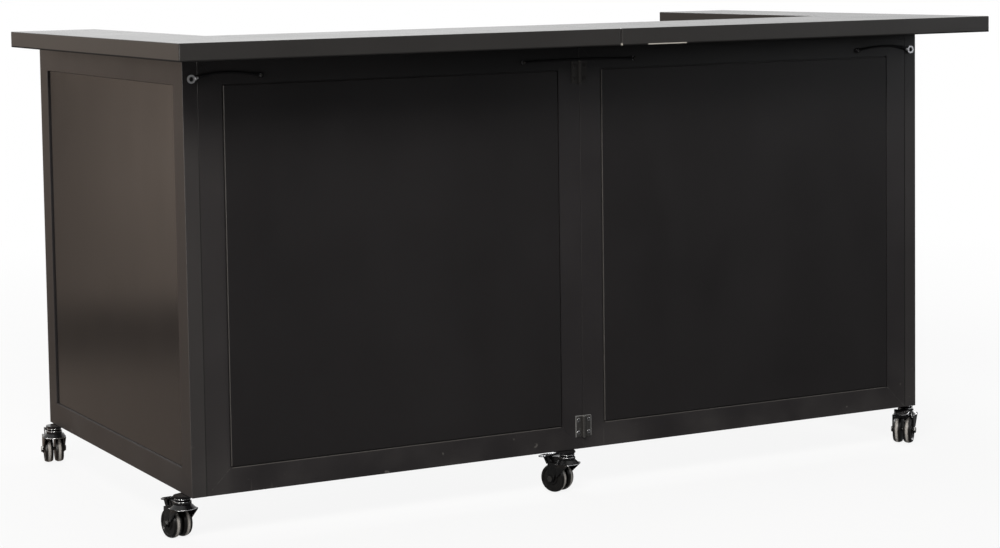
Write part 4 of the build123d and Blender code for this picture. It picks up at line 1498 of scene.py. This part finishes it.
class BAR_OT_stage(bpy.types.Operator):
    """Set up the floor, the white surroundings, the lamps and the camera"""

    bl_idname = "bar.stage"
    bl_label = "Set the stage"

    CAMERA_PLACE = (-2.746, -4.982, 1.241)
    CAMERA_TURN = -27.098
    CAMERA_TILT = 85.729
    CAMERA_ROLL = -0.953
    CAMERA_SHIFT = (0.0769, -0.1437)
    SENSOR_WIDTH = 36.0

    # Each lamp's name, its power in the settings, its place, its width and height, and its colour
    AIM = (0.0, 0.0, 0.6)
    LAMPS = (
        ("side_lamp", "side", (-5.0, -1.9, 1.3), (1.0, 2.6), (1.0, 0.97, 0.93)),
        ("key_lamp", "key", (-2.8, -4.0, 4.4), (2.4, 2.0), (1.0, 0.97, 0.94)),
        ("fill_lamp", "fill", (3.0, -2.6, 1.9), (1.6, 1.6), (0.95, 0.97, 1.0)),
        ("top_lamp", "overhead", (0.4, 0.6, 4.4), (3.0, 3.0), (1.0, 1.0, 1.0)),
        ("end_lamp", "end", (4.6, 1.0, 1.7), (1.6, 2.2), (1.0, 1.0, 1.0)),
        ("rear_lamp", "rear", (-0.6, 4.0, 4.6), (2.6, 1.6), (1.0, 1.0, 1.0)),
    )

    # The floor: its paper, its own light close to the bar, and where it turns white
    FLOOR_SIZE = 60.0
    PAPER = (0.45, 0.45, 0.45, 1.0)
    NEAR_GLOW = 0.88
    TURNS_WHITE = (1.8, 5.0)

    # Where the floor mirrors the room in front, and where it mirrors the room at the left rear
    FRONT_SLANT = 1.6
    FRONT_FLOOR = (0.0, 3.0)
    REAR_FLOOR = (-0.4, 0.6)
    LEFT_FLOOR = (-0.6, -1.2)

    # Where the surroundings mirror the room: in front, at the left and at the right, as parts of a direction
    FRONT_AHEAD = (-0.25, -0.75)
    FRONT_UP = (0.55, 0.15)
    LEFT_ACROSS = (0.0, -0.3)
    LEFT_UP = (0.5, 0.1)
    RIGHT_ACROSS = (0.40, 0.62)

    # The room that the left end mirrors: the way to it on the floor, where its parts begin and are full,
    # and their tones next to the wall's colour
    ROOM_AHEAD = (-0.4555, 0.890)
    ROOM_ACROSS = (0.890, 0.4555)
    ROOM_SPREAD = 0.135
    ROOM_MIDDLE = 0.923
    WALL_FOOT = (2.6, 3.4)
    WALL_PALES = (3.5, 9.0)
    DARK_SIDE = (-0.35, 0.50)
    SKIRTING = 2.97
    SKIRTING_WIDTH = (1.15, 0.10)
    ROOM_FLOOR_TONE = 0.46
    WALL_FOOT_TONE = 0.74
    DARK_SIDE_TONE = 0.28
    SKIRTING_TONE = 0.20

    def execute(self, context):
        studio = context.scene.portable_bar.studio
        context.scene.view_settings.view_transform = "Standard"
        self.floor(studio)
        self.surroundings(context, studio)
        for name, setting, place, size, tone in self.LAMPS:
            self.lamp(name, place, size, getattr(studio, setting), tone)
        self.camera(context, studio)
        return {"FINISHED"}

    def floor(self, studio):
        """A pale floor that keeps the bar's shadow and turns white further out. Reflections show a room."""
        begin()
        bpy.ops.mesh.primitive_plane_add(size=self.FLOOR_SIZE)
        floor = bpy.context.object
        floor.name = "studio_floor"
        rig.stage(floor)
        finish = Finish("studio_floor")
        reach = finish.vector_math("LENGTH", finish.place, output="Value")
        far = finish.soft_step(reach, *self.TURNS_WHITE)
        seen = self.seen_rays(finish)
        glossy = finish.add("ShaderNodeLightPath", output="Is Glossy Ray")
        ahead = finish.soft_step(self.FRONT_SLANT * finish.x - finish.y, *self.FRONT_FLOOR)
        behind = finish.soft_step(finish.y, *self.REAR_FLOOR) * finish.soft_step(finish.x, *self.LEFT_FLOOR)
        shade = finish.tint(glossy, WHITE, solid(3 * [studio.bounce]))
        shade = finish.tint(glossy * ahead, shade, solid(3 * [studio.room]))
        shade = finish.tint(glossy * behind, shade, self.mirrored_room(finish, studio.wall))
        paper = finish.add("ShaderNodeBsdfDiffuse", inputs={"Color": self.PAPER})
        glow = finish.add("ShaderNodeEmission", inputs={"Color": shade, "Strength": 1.0})
        own = (seen - glossy) * (self.NEAR_GLOW + (1 - self.NEAR_GLOW) * far) + glossy
        mixed = finish.add("ShaderNodeMixShader", inputs={0: own, 1: paper, 2: glow})
        output = finish.tree.nodes["Material Output"]
        finish.feed(output.inputs["Surface"], mixed)
        floor.data.materials.append(finish.material)

    def mirrored_room(self, finish, shade):
        """The room that the left end mirrors: a floor, a skirting, and a wall with a dark side."""
        distance = self.ROOM_AHEAD[0] * finish.x + self.ROOM_AHEAD[1] * finish.y
        beside = self.ROOM_ACROSS[0] * finish.x + self.ROOM_ACROSS[1] * finish.y
        beside = beside - self.ROOM_SPREAD * distance + self.ROOM_MIDDLE
        pale = finish.soft_step(distance, *self.WALL_PALES)
        wall = finish.tint(pale, lighter(shade, self.WALL_FOOT_TONE), solid(shade))
        dark = finish.soft_step(beside, *self.DARK_SIDE)
        wall = finish.tint(dark, wall, lighter(shade, self.DARK_SIDE_TONE))
        upright = finish.soft_step(distance, *self.WALL_FOOT)
        room = finish.tint(upright, lighter(shade, self.ROOM_FLOOR_TONE), wall)
        skirting = finish.line(distance, self.SKIRTING, *self.SKIRTING_WIDTH)
        return finish.tint(skirting, room, lighter(shade, self.SKIRTING_TONE))

    def seen_rays(self, nodes):
        """1 for the rays of the camera, reflections and glass, and 0 for the rays that only light."""
        path = nodes.add("ShaderNodeLightPath", output="Is Camera Ray")
        rays = path.socket.node.outputs
        seen = path.or_more(Signal(nodes, rays["Is Glossy Ray"]))
        return seen.or_more(Signal(nodes, rays["Is Transmission Ray"]))

    def surroundings(self, context, studio):
        """White all round, with a dimmer room in front of the bar that only reflections show."""
        world = bpy.data.worlds.new("studio")
        context.scene.world = world
        world.use_nodes = True
        nodes = NodeSet(world.node_tree)
        seen = self.seen_rays(nodes)
        glossy = nodes.add("ShaderNodeLightPath", output="Is Glossy Ray")
        towards = nodes.add("ShaderNodeTexCoord", output="Generated")
        across, ahead, up = nodes.axes(towards)
        front = nodes.soft_step(ahead, *self.FRONT_AHEAD) * nodes.soft_step(up, *self.FRONT_UP)
        left = nodes.soft_step(across, *self.LEFT_ACROSS) * nodes.soft_step(up, *self.LEFT_UP)
        right = nodes.soft_step(across, *self.RIGHT_ACROSS)
        shade = nodes.tint(glossy * left, WHITE, solid(studio.wall))
        shade = nodes.tint(glossy * right, shade, solid(3 * [studio.right]))
        shade = nodes.tint(glossy * front, shade, solid(3 * [studio.room]))
        background = world.node_tree.nodes["Background"]
        nodes.feed(background.inputs["Color"], shade)
        nodes.feed(background.inputs["Strength"], studio.ambient + (1 - studio.ambient) * seen)

    def lamp(self, name, place, size, watts, tone):
        """A soft lamp, so wide and so high, that points at the bar."""
        begin()
        bpy.ops.object.light_add(type="AREA", location=place)
        lamp = bpy.context.object
        lamp.name = name
        lamp.data.shape = "RECTANGLE"
        lamp.data.size, lamp.data.size_y = size
        lamp.data.energy = watts
        lamp.data.color = tone
        lamp.rotation_euler = (Vector(self.AIM) - Vector(place)).to_track_quat("-Z", "Y").to_euler()

    def camera(self, context, studio):
        """The photograph's camera: from the left of the front, a little above the top."""
        turn = Matrix.Rotation(math.radians(self.CAMERA_TURN), 4, "Z")
        tilt = Matrix.Rotation(math.radians(self.CAMERA_TILT), 4, "X")
        roll = Matrix.Rotation(math.radians(self.CAMERA_ROLL), 4, "Z")
        begin()
        bpy.ops.object.camera_add()
        camera = bpy.context.object
        camera.name = "camera"
        camera.matrix_world = Matrix.Translation(self.CAMERA_PLACE) @ turn @ tilt @ roll
        camera.data.lens = studio.lens
        camera.data.sensor_width = self.SENSOR_WIDTH
        camera.data.shift_x, camera.data.shift_y = self.CAMERA_SHIFT
        context.scene.camera = camera


OPERATORS = (
    BAR_OT_stage,
    BAR_OT_finishes,
    BAR_OT_wheels,
    BAR_OT_ties,
    BAR_OT_hinge_screws,
    BAR_OT_board_screws,
    BAR_OT_board_sills,
    BAR_OT_plate_screws,
    BAR_OT_snap_rings,
    BAR_OT_fork_fronts,
    BAR_OT_pedal_ribs,
)


class BAR_PT_sidebar(bpy.types.Panel):
    """Lists the steps that dress the bar, and its settings"""

    bl_label = "Portable Bar"
    bl_idname = "BAR_PT_sidebar"
    bl_space_type = "VIEW_3D"
    bl_region_type = "UI"
    bl_category = "Portable Bar"

    def draw(self, context):
        for operator in OPERATORS:
            self.layout.operator(operator.bl_idname)
        for group in ("colours", "fittings", "studio"):
            box = self.layout.box()
            settings = getattr(context.scene.portable_bar, group)
            for name in settings.__annotations__:
                box.prop(settings, name)


CLASSES = (BarColours, BarFittings, BarStudio, BarSettings, *OPERATORS, BAR_PT_sidebar)


def register():
    """Add the settings, operators and panel."""
    for item in CLASSES:
        bpy.utils.register_class(item)
    bpy.types.Scene.portable_bar = bpy.props.PointerProperty(
        name="Portable bar", description="Settings of the portable bar", type=BarSettings
    )


def unregister():
    """Take the settings, operators and panel away."""
    del bpy.types.Scene.portable_bar
    for item in reversed(CLASSES):
        bpy.utils.unregister_class(item)


def main():
    """Dress the bar step by step, and write its size before and after."""
    register()
    bpy.ops.bar.stage()
    bpy.ops.bar.finishes()
    bpy.ops.bar.wheels()
    bpy.ops.bar.ties()
    bpy.ops.bar.hinge_screws()
    bpy.ops.bar.board_screws()
    bpy.ops.bar.board_sills()
    bpy.ops.bar.plate_screws()
    bpy.ops.bar.snap_rings()
    bpy.ops.bar.fork_fronts()
    bpy.ops.bar.pedal_ribs()
    visual_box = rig.bounds()
    sizes = {
        "cad": [list(corner) for corner in CAD_BOX],
        "visual": [list(corner) for corner in visual_box],
    }
    with open("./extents.json", "w") as file:
        json.dump(sizes, file)


if __name__ == "__main__":
    main()
